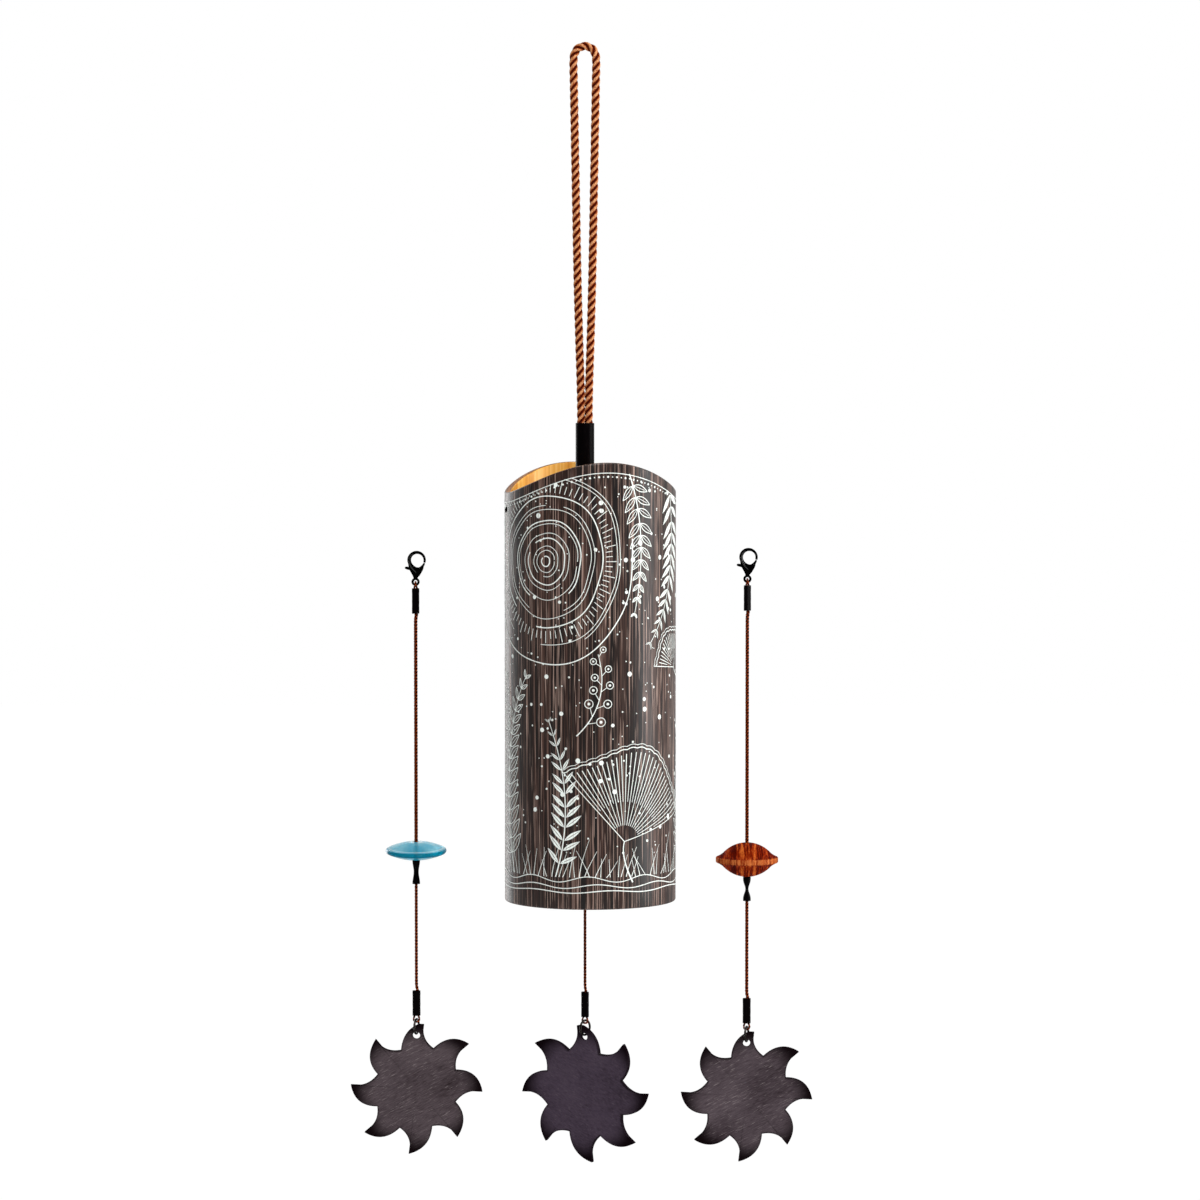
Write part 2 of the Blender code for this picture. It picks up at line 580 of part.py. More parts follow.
def gate_outline():
    """The gate as a ribbon of changing width, from its thumb tab past the rivet to its tip."""
    spine = [((-4.0, 5.35), 0.34), ((-2.9, 5.2), 0.4), ((-1.2, 4.75), 0.6), ((0.2, 4.3), 0.85),
             ((0.9, 4.2), 0.95), ((1.9, 4.85), 0.8), ((2.63, 5.84), 0.48), ((3.06, 6.46), 0.38),
             ((3.33, 7.04), 0.33)]
    upper = []
    lower = []
    for i, (point, half_width) in enumerate(spine):
        before = Vector(spine[max(i - 1, 0)][0])
        after = Vector(spine[min(i + 1, len(spine) - 1)][0])
        along = (after - before).normalized()
        side = Vector((-along.y, along.x)) * half_width
        upper.append((Vector(point) + side) * MM)
        lower.append((Vector(point) - side) * MM)
    first = Vector(spine[0][0]) * MM
    tab_end = [first + Vector((-0.3, 0.1)) * MM]
    return [tuple(point) for point in lower + upper[::-1] + tab_end]


def make_clasp_gate(name, pivot, place, yaw):
    gate = plate(name, gate_outline(), GATE_THICKNESS, "black_metal", 0.12 * MM)
    drill = cylinder("gate_drill", RIVET_D / 2 + RIVET_CLEARANCE, 3 * CLASP_THICKNESS, sides=10)
    turn_mesh(drill, "X", math.pi / 2, (RIVET_PLACE[0], 0.0, RIVET_PLACE[1]))
    combine(gate, [drill], "DIFFERENCE")
    attach(gate, pivot, place, yaw)


def make_clasp_rivet(name, pivot, place, yaw):
    face = CLASP_THICKNESS / 2 + RIVET_CLEARANCE
    top = face + RIVET_HEAD_HEIGHT
    head = RIVET_HEAD_D / 2
    shank = RIVET_D / 2
    profile = [(0.0, top), (head * 0.6, top), (head, face), (shank, face), (shank, -face),
               (head, -face), (head * 0.6, -top), (0.0, -top)]
    rivet = turned(name, profile, "black_metal", 8)
    turn_mesh(rivet, "X", math.pi / 2, (RIVET_PLACE[0], 0.0, RIVET_PLACE[1]))
    attach(rivet, pivot, place, yaw)


def stadium(offset, radius, height):
    """A ring of points round two cord legs that lie side by side along X."""
    points = []
    for side in (1, -1):
        middle = 0.0 if side == 1 else math.pi
        for x, y in arc((side * offset, 0.0), radius, middle - math.pi / 2, middle + math.pi / 2, 5):
            points.append((x, y, height))
    return points


def make_sleeve(name, pivot, place, yaw):
    """Shrunk tubing over the cord and its tail, so its section is a flattened oval."""
    bore = CORD_R + SLEEVE_CLEARANCE
    outer = bore + SLEEVE_WALL
    flare = 0.1 * MM
    length = SLEEVE_LENGTH
    sections = [(outer - flare, 0.0), (outer, -flare), (outer, flare - length),
                (outer - flare, -length), (bore + flare / 2, -length), (bore, -length + 3 * flare),
                (bore, -3 * flare), (bore + flare / 2, 0.0)]
    rings = [stadium(CORD_LEG_OFFSET, radius, height) for radius, height in sections]
    attach(lofted(name, rings, "black_sleeve"), pivot, place, yaw)


def make_upper_cord(name, pivot, place, yaw, seat):
    """From the tail in the upper sleeve through the clasp's eye and down into the crimp."""
    route = [turned_point(*point) for point in EYE_LOOP]
    end = seat - CRIMP_LENGTH / 2 + FACE_GAP - place[2]
    middle = (route[-1].z + end) / 2
    route += [Vector((0.0, 0.0, middle)), Vector((0.0, 0.0, end))]
    attach(wire(name, smooth_route(route, 4 * CORD_D), CORD_D, "cord"), pivot, place, yaw)


def make_lower_cord(name, pivot, place, yaw, seat):
    """From inside the crimp down to the loop round the jump ring and back into the sleeve."""
    route = [Vector((across, 0.0, up)) * MM for across, up in RING_LOOP]
    start = seat - CRIMP_LENGTH / 2 - FACE_GAP - place[2]
    middle = (route[0].z + start) / 2
    route = [Vector((0.0, 0.0, start)), Vector((0.0, 0.0, middle))] + route
    attach(wire(name, smooth_route(route, 4 * CORD_D), CORD_D, "cord"), pivot, place, yaw)


def make_crimp(name, pivot, place, waist_ease):
    """A short tube that is pinched on the cord, so it draws in at the middle."""
    bore = CORD_R + CRIMP_BORE_CLEARANCE
    end = CRIMP_END_D / 2
    waist = bore + CRIMP_WALL_AT_WAIST + waist_ease
    half = CRIMP_LENGTH / 2
    outside = []
    for i in range(5):
        t = i / 2 - 1
        ease = math.sin(t * math.pi / 2) ** 2
        outside.append((waist + (end - waist) * ease, -t * half - half))
    profile = [(bore, 0.0)] + outside + [(bore, -CRIMP_LENGTH)]
    attach(turned(name, profile, "black_sleeve", 12), pivot, place)


def make_lens(name, pivot, place, finish):
    """A thin disc whose faces rise, a little swollen, from a rounded rim to the hole for the cord."""
    bore = CORD_R + STRIKER_BORE_CLEARANCE
    radius = LENS_D / 2
    rim = LENS_RIM / 2
    hub = LENS_THICKNESS / 2
    upper = []
    under = []
    for i in range(4):
        t = i / 3
        r = bore + (radius - rim - bore) * t
        height = hub + (rim - hub) * t + 4 * LENS_SWELL * t * (1 - t)
        upper.append((r, height))
        under.append((r, -height))
    edge = arc((radius - rim, 0.0), rim, math.radians(55.0), math.radians(-55.0), 3)
    profile = upper + edge + under[::-1]
    attach(turned(name, profile, finish, 28), pivot, place)


def make_bead(name, pivot, place, finish):
    """A turned bead: two domes, each hollowed where it meets the flat band round the middle."""
    bore = CORD_R + STRIKER_BORE_CLEARANCE
    radius = BEAD_D / 2
    dome = BEAD_DOME_D / 2
    rim = BEAD_RIM / 2
    rise = BEAD_HEIGHT / 2 - rim
    ball = (dome ** 2 + rise ** 2) / (2 * rise)
    face = []
    for i in range(5):
        r = bore + (dome - bore) * i / 4
        face.append((r, rim + rise - ball + math.sqrt(ball ** 2 - r ** 2)))
    soft = 0.5 * MM
    hollow = [(dome + (radius - dome) * 0.4, rim + 0.1 * MM)]
    edge = [(radius - soft, rim), (radius, rim - soft)]
    upper = face[:-1] + [(dome, rim + 0.45 * MM)] + hollow + edge
    lower = [(r, -z) for r, z in reversed(upper)]
    attach(turned(name, upper + lower, finish, 28), pivot, place)


def make_jump_ring(name, pivot, place, yaw):
    """A wire ring that stands across the sail and hangs by its topmost wire."""
    section = arc((RING_R, 0.0), RING_WIRE_D / 2, 0.0, math.tau * 7 / 8, 8)
    ring = turned(name, section, "gunmetal", 16)
    turn_mesh(ring, "Y", math.pi / 2, (0.0, 0.0, -RING_R))
    attach(ring, pivot, place, yaw)


def sail_outline(hand, tip_r, valley_r):
    """Eight flame-like rays, each a long full rise to its tip and a short hollow fall.

    The whole outline is drawn out a little along one diagonal.
    """
    step = math.tau / SAIL_RAYS
    points = []
    for i in range(SAIL_RAYS):
        tip_turn = SAIL_TIP_TURN + i * step
        foot_turn = tip_turn + SAIL_FALL_ANGLE - step
        foot = (valley_r * math.sin(foot_turn), valley_r * math.cos(foot_turn))
        tip = (tip_r * math.sin(tip_turn), tip_r * math.cos(tip_turn))
        next_turn = tip_turn + SAIL_FALL_ANGLE
        valley = (valley_r * math.sin(next_turn), valley_r * math.cos(next_turn))
        points += [foot] + bow(foot, tip, SAIL_RISE_BULGE, 5)
        points += [tip] + bow(tip, valley, -SAIL_FALL_HOLLOW, 4)
    return [(hand * (x + SAIL_LEAN * z), z + SAIL_LEAN * x) for x, z in points]


def ring_drop():
    """How far the ring's lowest wire lies under the top of the sail's hole at mid thickness."""
    half = SAIL_THICKNESS / 2
    level = math.sqrt(RING_R ** 2 - half ** 2)
    return RING_GAP + RING_WIRE_D / 2 * RING_R / level + RING_R - level


def make_sail(name, pivot, place, yaw, hand, scale):
    """A flat sail, whose hole hangs on the jump ring's lowest wire."""
    outline = sail_outline(hand, SAIL_TIP_R * scale, SAIL_VALLEY_R * scale)
    sail = plate(name, outline, SAIL_THICKNESS, "dark_wood")
    hole_offset = SAIL_TIP_R * scale - SAIL_HOLE_BELOW_TIP
    drill = cylinder("sail_drill", SAIL_HOLE_D / 2, 4 * SAIL_THICKNESS, sides=20)
    turn_mesh(drill, "X", math.pi / 2, (0.0, 0.0, hole_offset))
    combine(sail, [drill], "DIFFERENCE")
    wire_height = hole_offset + SAIL_HOLE_D / 2 - ring_drop()
    turn_mesh(sail, "X", 0.0, (0.0, 0.0, -wire_height))
    attach(sail, pivot, place, yaw)


def make_strand(name, strand, carrier):
    """One strand from its clasp down to its sail, with a pivot at each place where it moves."""
    x = strand["x"]
    yaw = strand["yaw"]
    eye = Vector((x, 0.0, EYE_Z + strand["eye_rise"]))
    hook = eye + Vector((0.0, 0.0, HOOK_PIVOT_HEIGHT))
    clasp_pivot = add_pivot(f"{name}_clasp_pivot", hook, yaw, carrier)
    make_clasp_body(f"{name}_clasp_body", clasp_pivot, eye, yaw)
    make_clasp_rivet(f"{name}_clasp_rivet", clasp_pivot, eye, yaw)

    offset = Matrix.Rotation(yaw, 3, "Z") @ Vector((RIVET_PLACE[0], 0.0, RIVET_PLACE[1]))
    gate_pivot = add_pivot(f"{name}_gate_pivot", eye + offset, yaw, clasp_pivot)
    make_clasp_gate(f"{name}_clasp_gate", gate_pivot, eye, yaw)

    eye_wire = eye + Vector((0.0, 0.0, EYE_WIRE_Z))
    seat = Vector((x, 0.0, PIN_Z - strand["seat_drop"]))
    cord_pivot = add_pivot(f"{name}_cord_pivot", eye_wire, yaw, clasp_pivot)
    sleeve_top = eye - Vector((0.0, 0.0, UPPER_SLEEVE_BELOW_EYE))
    legs_yaw = yaw + math.radians(EYE_LEGS_TURN)
    make_sleeve(f"{name}_upper_sleeve", cord_pivot, sleeve_top, legs_yaw)
    make_upper_cord(f"{name}_upper_cord", cord_pivot, eye, yaw, seat.z)
    make_crimp(f"{name}_crimp", cord_pivot, seat, strand["waist"])

    striker_pivot = add_pivot(f"{name}_striker_pivot", seat, 0.0, cord_pivot)
    if strand["striker"] == "lens":
        middle = seat + Vector((0.0, 0.0, FACE_GAP + LENS_THICKNESS / 2))
        make_lens(f"{name}_striker", striker_pivot, middle, strand["finish"])
    else:
        middle = seat + Vector((0.0, 0.0, FACE_GAP + BEAD_HEIGHT / 2))
        make_bead(f"{name}_striker", striker_pivot, middle, strand["finish"])

    sail_yaw = strand["sail_yaw"]
    loop = Vector((x, 0.0, PIN_Z - strand["loop_drop"]))
    twist_pivot = add_pivot(f"{name}_twist_pivot", seat, sail_yaw, cord_pivot)
    make_lower_cord(f"{name}_lower_cord", twist_pivot, loop, sail_yaw, seat.z)
    sleeve_top = loop + Vector((0.0, 0.0, LOWER_SLEEVE_ABOVE_LOOP + SLEEVE_LENGTH))
    make_sleeve(f"{name}_lower_sleeve", twist_pivot, sleeve_top, sail_yaw)

    ring_yaw = sail_yaw + RING_TURN
    ring_pivot = add_pivot(f"{name}_ring_pivot", loop, ring_yaw, twist_pivot)
    make_jump_ring(f"{name}_jump_ring", ring_pivot, loop, ring_yaw)
    low_wire = loop - Vector((0.0, 0.0, 2 * RING_R))
    sail_pivot = add_pivot(f"{name}_sail_pivot", low_wire, sail_yaw, ring_pivot)
    make_sail(f"{name}_sail", sail_pivot, low_wire, sail_yaw, strand["hand"], strand["sail_scale"])


def main():
    clear_scene()
    make_rope()
    make_rope_sleeve()
    chime_pivot = add_pivot("chime_pivot", (0.0, 0.0, PIN_Z), SADDLE_TURN)
    make_tube(chime_pivot)
    make_pin(chime_pivot)
    make_bail(chime_pivot)
    make_plate_and_seat(chime_pivot)
    make_rods(chime_pivot)
    make_screws(chime_pivot)
    for name, strand in STRANDS.items():
        make_strand(name, strand, chime_pivot if name == "main" else None)


main()
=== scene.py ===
"""Bamboo wind chime with two spare striker strands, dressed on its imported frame.

Shapes are worked out as numpy grids in millimetres, in the frame's axes: +Z is up, +X is to the
right of the front view and the origin is the hang point. Each piece replaces the solids that it
stands for and rides on their body.
"""

import math

import bpy
import numpy as np
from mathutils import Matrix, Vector


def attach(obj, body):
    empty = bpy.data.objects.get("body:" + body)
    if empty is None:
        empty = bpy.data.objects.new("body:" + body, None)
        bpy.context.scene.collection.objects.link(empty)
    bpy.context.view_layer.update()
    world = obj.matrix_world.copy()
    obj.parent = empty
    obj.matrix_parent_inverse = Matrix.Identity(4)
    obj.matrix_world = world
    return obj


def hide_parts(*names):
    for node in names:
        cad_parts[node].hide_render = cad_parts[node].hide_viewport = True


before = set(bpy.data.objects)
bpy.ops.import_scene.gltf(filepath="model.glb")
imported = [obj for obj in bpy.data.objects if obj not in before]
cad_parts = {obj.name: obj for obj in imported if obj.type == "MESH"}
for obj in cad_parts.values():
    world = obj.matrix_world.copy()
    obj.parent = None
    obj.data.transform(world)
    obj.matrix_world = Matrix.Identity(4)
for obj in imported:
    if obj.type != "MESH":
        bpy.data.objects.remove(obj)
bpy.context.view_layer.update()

MM = 0.001
TAU = math.tau
SMOOTH_ANGLE = math.radians(38.0)
ON_AXIS = 0.0001

# Sizes of the solids, in millimetres
TUBE_R = 32.0
TUBE_INNER_R = 29.5
RIM_Z = -158.8
MOUTH_Z = -317.4
SADDLE_RISE = 5.6
SADDLE_TURN = math.radians(12.0)
RIM_ROUND = 0.6
TUBE_OFF_ROPE = 2.0
PIN_Z = -170.7
PIN_R = 1.1
PIN_HOLE_R = 1.25
BAIL_R = 0.6
ROPE_SLEEVE_R = 3.5
ROPE_SLEEVE_BORE_R = 2.85
ROPE_SLEEVE_TOP = -138.6
ROPE_SLEEVE_LENGTH = 21.9
PLATE_BOTTOM_Z = -312.4
PLATE_TOP_Z = -310.4
PLATE_HOLE_R = 15.5
SEAT_OUTER_R = 29.3
SEAT_INNER_R = 25.9
SEAT_HEIGHT = 6.0
FACE_GAP = 0.1
ROD_CIRCLE_R = 20.7
ROD_R = 1.25
ROD_FOOT_R = 2.1
ROD_FOOT_HEIGHT = 1.8
ROD_LONGEST = 112.0
ROD_SEMITONES = (0, 10, 3, 15, 7, 17, 5, 12)
SCREW_CIRCLE_R = 27.6
SCREW_COUNT = 3
SCREW_HEAD_R = 1.5
SCREW_HEAD_HEIGHT = 1.1
SCREW_SHANK_R = 0.8
SCREW_LENGTH = 7.0
SCREW_SLOT_HALF = 0.3
SCREW_SLOT_TOP = -0.6
CLASP_THICKNESS = 2.2
EYE_THICKNESS = 0.9
EYE_LEGS_TURN = math.radians(40.0)
HOOK_CENTRE = (0.66, 8.12)
HOOK_OPENING_R = 2.35
HOOK_OUTER_CENTRE = (0.4, 8.15)
HOOK_OUTER_R = 3.45
RIVET_PLACE = (0.9, 4.2)
RIVET_R = 0.4
RIVET_HEAD_R = 0.75
RIVET_HALF = 1.16
GATE_THICKNESS = 0.9
GATE_SLOT_HALF = 0.6
CORD_LEG_OFFSET = 0.57
SLEEVE_LENGTH = 9.5
SLEEVE_BORE_R = 0.63
UPPER_SLEEVE_BELOW_EYE = 2.4
LOWER_SLEEVE_ABOVE_LOOP = 1.3
CRIMP_LENGTH = 9.0
LENS_R = 11.4
LENS_THICKNESS = 6.9
LENS_RIM = 2.0
LENS_SWELL = 0.45
BEAD_R = 11.7
BEAD_DOME_R = 10.0
BEAD_HEIGHT = 12.9
BEAD_RIM = 2.5
RING_R = 2.75
RING_WIRE_R = 0.42
RING_GAP = 0.17
RING_TURN = math.radians(-15.0)
SAIL_TIP_R = 24.9
SAIL_VALLEY_R = 15.9
SAIL_THICKNESS = 2.0
SAIL_RAYS = 8
SAIL_TIP_TURN = math.radians(5.0)
SAIL_FALL_ANGLE = math.radians(16.5)
SAIL_RISE_BULGE = 2.6
SAIL_FALL_HOLLOW = 1.8
SAIL_HOLE_R = 1.4
SAIL_HOLE_BELOW_TIP = 4.9
SAIL_LEAN = 0.035

# Sizes that only the scene has or that it draws in its own way, in millimetres
PRINT_FOOT = 5.0
PRINT_BELOW_RIM = 3.4
INK_PROUD = 0.07
PIN_SEEN_HALF = 30.4
ROPE_LAID_D = 3.2
ROPE_LAY = 9.1
ROPE_SPACING = 0.45
BRAID_UPPER_D = {"main": 1.44, "left": 1.56, "right": 1.56}
BRAID_LOWER_D = {"main": 1.24, "left": 1.34, "right": 1.44}
BRAID_THIN_D = 1.06
BRAID_LOOP_D = 0.85
BRAID_PITCH = 2.52
BRAID_PHASE = TAU / 8
BRAID_SPACING = 0.2
# How far below the clasp's eye, above the ring's wire and inside the crimp a braid thins
BRAID_EYE_TAPER = (10.5, 4.0)
BRAID_RING_TAPER = (4.0, 9.5)
BRAID_CRIMP_TAPER = 2.5
EYE_OUTER_R = 1.55
EYE_HOLE_R = 0.66
HOOK_TIP_ANGLE = math.radians(-18.0)
GATE_SLOT_HEIGHTS = (2.5, 6.9)
GATE_SLOT_REACH = 4.5
SLEEVE_R = 0.93
CRIMP_END_R = 1.46
CRIMP_DEEP_R = 0.93
CRIMP_MOUTH_R = 0.66
CRIMP_CORE_R = 0.58
CRIMP_NARROW_WAIST = 0.8
STRIKER_BORE_R = 0.9
LENS_TIP = math.radians(5.0)
BEAD_BAND = 2.2
SAIL_TIP_BLUNT = 0.6

# Routes of the rope, the bail and the cords' loops: distance from the axis, turn of the legs'
# plane in degrees and height. The bail's points are along the pin, across it and above it.
ROPE_ROUTE = (
    (1.40, -52, -150.3), (1.40, -70, -155.5), (1.42, -78, -160.0), (1.95, -78, -165.5),
    (2.75, -78, -170.7), (1.94, -78, -172.64), (0.00, -78, -173.45), (-1.94, -78, -172.64),
    (-2.75, -78, -170.7), (-1.95, -78, -165.5), (-1.42, -78, -160.0), (-1.40, -70, -155.5),
    (-1.40, -50, -149.8), (-1.40, -20, -144.0), (-1.40, -3, -139.0), (-1.42, 0, -133.0),
    (-1.60, 0, -124.0), (-2.05, 0, -110.0), (-2.72, 0, -85.7), (-3.50, 0, -45.0),
    (-4.10, 0, -12.0), (-4.15, 0, -2.8), (-2.93, 0, 0.18), (0.00, 0, 1.40), (2.93, 0, 0.18),
    (4.15, 0, -2.8), (4.10, 0, -12.0), (3.50, 0, -45.0), (2.72, 0, -85.7), (2.05, 0, -110.0),
    (1.60, 0, -124.0), (1.42, 0, -133.0), (1.40, -3, -139.0), (1.40, -20, -144.0),
    (1.40, -48, -149.5),
)
BAIL_ROUTE = (
    (-2.75, -1.95, -4.5), (-2.75, -1.95, -2.0), (-2.75, -1.95, 0.0), (-2.75, -1.38, 1.38),
    (-2.75, 0.00, 1.95), (-2.75, 1.38, 1.38), (-2.75, 1.95, 0.0), (-2.75, 1.80, -3.0),
    (-2.75, 1.10, -7.0), (-2.75, 0.30, -11.0), (-2.70, 0.00, -14.0), (-2.45, 0.00, -16.6),
    (-1.70, 0.00, -18.1), (0.00, 0.00, -18.65),
)
EYE_LOOP = (
    (-0.57, 40, -10.3), (-0.57, 40, -7.0), (-0.57, 40, -4.2), (-0.57, 40, -2.9),
    (-0.59, 43, -2.3), (-0.88, 68, -1.75), (-1.14, 90, -1.15), (-0.81, 90, -0.39),
    (0.00, 90, -0.06), (0.81, 90, -0.39), (1.14, 90, -1.15), (0.88, 68, -1.75),
    (0.59, 43, -2.3), (0.57, 40, -2.9), (0.57, 40, -4.2), (0.57, 40, -7.0),
    (0.57, 40, -10.3), (0.35, 40, -12.2), (0.05, 40, -14.0), (0.00, 40, -16.0),
)
RING_LOOP = (
    (0.00, 0, 16.3), (0.00, 0, 14.5), (0.05, 0, 12.7), (0.35, 0, 11.0), (0.57, 0, 9.1),
    (0.57, 0, 5.8), (0.57, 0, 2.9), (0.57, 0, 1.6), (0.84, 0, 0.9), (1.07, 0, 0.1),
    (0.76, 0, -0.76), (0.00, 0, -1.07), (-0.76, 0, -0.76), (-1.07, 0, 0.1), (-0.84, 0, 0.9),
    (-0.57, 0, 1.6), (-0.57, 0, 2.9), (-0.57, 0, 5.8), (-0.57, 0, 8.7),
)

# Each strand: its place, the height of its clasp's eye, the turn of its clasp and of its sail, its
# striker, the heights of the crimp's top and of the ring's topmost wire, the crimp's least half
# width, the sail's size and its hand
STRANDS = {
    "main": {"x": 0.0, "eye": -198.7, "yaw": math.radians(102.0), "sail_yaw": math.radians(-25.0),
             "striker": "disc", "seat": -302.8, "loop": -363.1, "waist": 0.95, "scale": 1.05,
             "hand": -1},
    "left": {"x": -63.4, "eye": -198.0, "yaw": 0.0, "sail_yaw": 0.0, "striker": "lens",
             "seat": -302.5, "loop": -362.6, "waist": 0.95, "scale": 1.0, "hand": 1},
    "right": {"x": 60.8, "eye": -196.9, "yaw": 0.0, "sail_yaw": 0.0, "striker": "bead",
              "seat": -308.9, "loop": -365.5, "waist": 0.6, "scale": 1.0, "hand": 1},
}

# Camera, lamps and floor, in metres: each lamp's place, size and power in watts
CAMERA_LENS_MM = 111.1
CAMERA_SENSOR_MM = 36.0
CAMERA_PLACE = (0.00563, -1.385, -0.1437)
CAMERA_AIM = (0.00563, 0.0, -0.2048)
LAMP_AIM = (0.0, 0.0, -0.22)
LAMPS = {
    "front_lamp": ((0.3, -1.15, 0.95), (0.6, 0.5), 24.0),
    "right_lamp": ((1.4, -0.2, 0.0), (0.4, 1.3), 15.0),
    "left_lamp": ((-0.85, 1.25, -0.1), (0.5, 1.3), 9.0),
}
FLOOR_HALF = 9.0
FLOOR_LEVEL = -0.9
WHITE = (1.0, 1.0, 1.0, 1.0)

# The tube's axis stands off the rope along the pin
TUBE_AXIS = (TUBE_OFF_ROPE * math.cos(SADDLE_TURN), TUBE_OFF_ROPE * math.sin(SADDLE_TURN), 0.0)


def linear(red, green, blue):
    """A colour given as the screen shows it, from 0 to 255, in the linear values of a shader."""
    shown = np.array((red, green, blue)) / 255.0
    value = np.where(shown <= 0.04045, shown / 12.92, ((shown + 0.055) / 1.055) ** 2.4)
    return (*(float(part) for part in value), 1.0)


class Value:
    """A node's output. Arithmetic on it adds Math nodes and gives the result's output."""

    def __init__(self, graph, socket):
        self.graph = graph
        self.socket = socket

    def of(self, output):
        """Another output of the same node."""
        return Value(self.graph, self.socket.node.outputs[output])

    def math(self, operation, *others):
        inputs = dict(enumerate((self, *others)))
        return self.graph.node("ShaderNodeMath", {"operation": operation}, inputs)

    def band(self, low, high):
        """A smooth step from 0 at the low value to 1 at the high one."""
        settings = {"interpolation_type": "SMOOTHSTEP"}
        inputs = {"Value": self, "From Min": low, "From Max": high}
        return self.graph.node("ShaderNodeMapRange", settings, inputs)

    def __add__(self, other):
        return self.math("ADD", other)

    def __sub__(self, other):
        return self.math("SUBTRACT", other)

    def __rsub__(self, other):
        return self.graph.node("ShaderNodeMath", {"operation": "SUBTRACT"}, {0: other, 1: self})

    def __mul__(self, other):
        return self.math("MULTIPLY", other)

    def __pow__(self, other):
        return self.math("POWER", other)

    def reach(self, other):
        """The distance that two values at right angles make, as the root of their squares' sum."""
        return (self * self + other * other) ** 0.5

    __radd__ = __add__
    __rmul__ = __mul__


class Graph:
    """A node tree, to which nodes are added one at a time."""

    def __init__(self, tree):
        self.tree = tree

    def node(self, kind, settings=None, inputs=None, output=0):
        """Add a node, set its settings, then set or link its sockets, and give one output."""
        made = self.tree.nodes.new(kind)
        for key, setting in (settings or {}).items():
            if key == "stops":
                ramp = made.color_ramp.elements
                while len(ramp) < len(setting):
                    ramp.new(1.0)
                for element, (place, colour) in zip(ramp, setting):
                    element.position = place
                    element.color = colour
            else:
                setattr(made, key, setting)
        for key, value in (inputs or {}).items():
            self.feed(made.inputs[key], value)
        return Value(self, made.outputs[output])

    def feed(self, socket, value):
        if isinstance(value, Value):
            self.tree.links.new(value.socket, socket)
        else:
            socket.default_value = value

    def place(self):
        """Object coordinates, in millimetres."""
        where = self.node("ShaderNodeTexCoord", output="Object")
        return self.scaled(where, (1000.0, 1000.0, 1000.0))

    def scaled(self, vector, factors):
        return self.node("ShaderNodeVectorMath", {"operation": "MULTIPLY"}, {0: vector, 1: factors})

    def parts(self, vector):
        """The three values of a vector."""
        split = self.node("ShaderNodeSeparateXYZ", inputs={0: vector})
        return split, split.of("Y"), split.of("Z")

    def noise(self, vector, stretch, detail=2.0, roughness=0.5):
        """Fractal noise, whose frequency per millimetre is given along each axis."""
        inputs = {"Vector": self.scaled(vector, stretch), "Scale": 1.0, "Detail": detail,
                  "Roughness": roughness}
        return self.node("ShaderNodeTexNoise", inputs=inputs)

    def ramp(self, value, stops):
        return self.node("ShaderNodeValToRGB", {"stops": stops}, {0: value})

    def mix(self, factor, first, second):
        """A colour between two colours."""
        return self.node("ShaderNodeMix", {"data_type": "RGBA"}, {0: factor, 6: first, 7: second}, 2)

    def attribute(self, name):
        return self.node("ShaderNodeAttribute", {"attribute_name": name}, output="Fac")


class Finish(Graph):
    """A material on one Principled shader, whose fixed values are set on its own sockets."""

    def __init__(self, name, **fixed):
        self.material = bpy.data.materials.new(name)
        self.material.use_nodes = True
        super().__init__(self.material.node_tree)
        self.shader = self.tree.nodes["Principled BSDF"]
        for socket, value in fixed.items():
            label = socket.replace("_", " ").title().replace("Ior", "IOR")
            self.shader.inputs[label].default_value = value

    def wear(self, colour=None, roughness=None, height=None, depth=0.05, strength=1.0, coat=None):
        """Link what changes over the surface. The height's relief is in millimetres."""
        if colour is not None:
            self.feed(self.shader.inputs["Base Color"], colour)
        if roughness is not None:
            self.feed(self.shader.inputs["Roughness"], roughness)
        if coat is not None:
            self.feed(self.shader.inputs["Coat Weight"], coat)
        if height is not None:
            inputs = {"Height": height, "Distance": depth * MM, "Strength": strength}
            self.feed(self.shader.inputs["Normal"], self.node("ShaderNodeBump", inputs=inputs))
        return self.material


def run_along(points):
    """The distance gone along a chain of points, at each of them."""
    return np.concatenate([[0.0], np.cumsum(np.linalg.norm(np.diff(points, axis=0), axis=1))])


def unit(vectors):
    """Vectors in rows, each made one long."""
    return vectors / np.linalg.norm(vectors, axis=1, keepdims=True)


def circle(turn):
    """Places on a circle of radius one, at angles about its middle."""
    return np.stack([np.cos(turn), np.sin(turn)], -1)


def oval(wide, deep, height, turn):
    """A ring of points with two half widths, at one height or at a height for each point."""
    return np.stack([wide * np.cos(turn), deep * np.sin(turn), np.broadcast_to(height, turn.shape)], -1)


def quadratic(start, bend, end, t):
    """The quadratic curve from one place to another that leans to a third."""
    return start * (1 - t) ** 2 + bend * 2 * t * (1 - t) + end * t ** 2


def about_z(yaw):
    """The matrix that turns points in rows about Z."""
    return np.array([[math.cos(yaw), math.sin(yaw), 0.0], [-math.sin(yaw), math.cos(yaw), 0.0],
                     [0.0, 0.0, 1.0]])


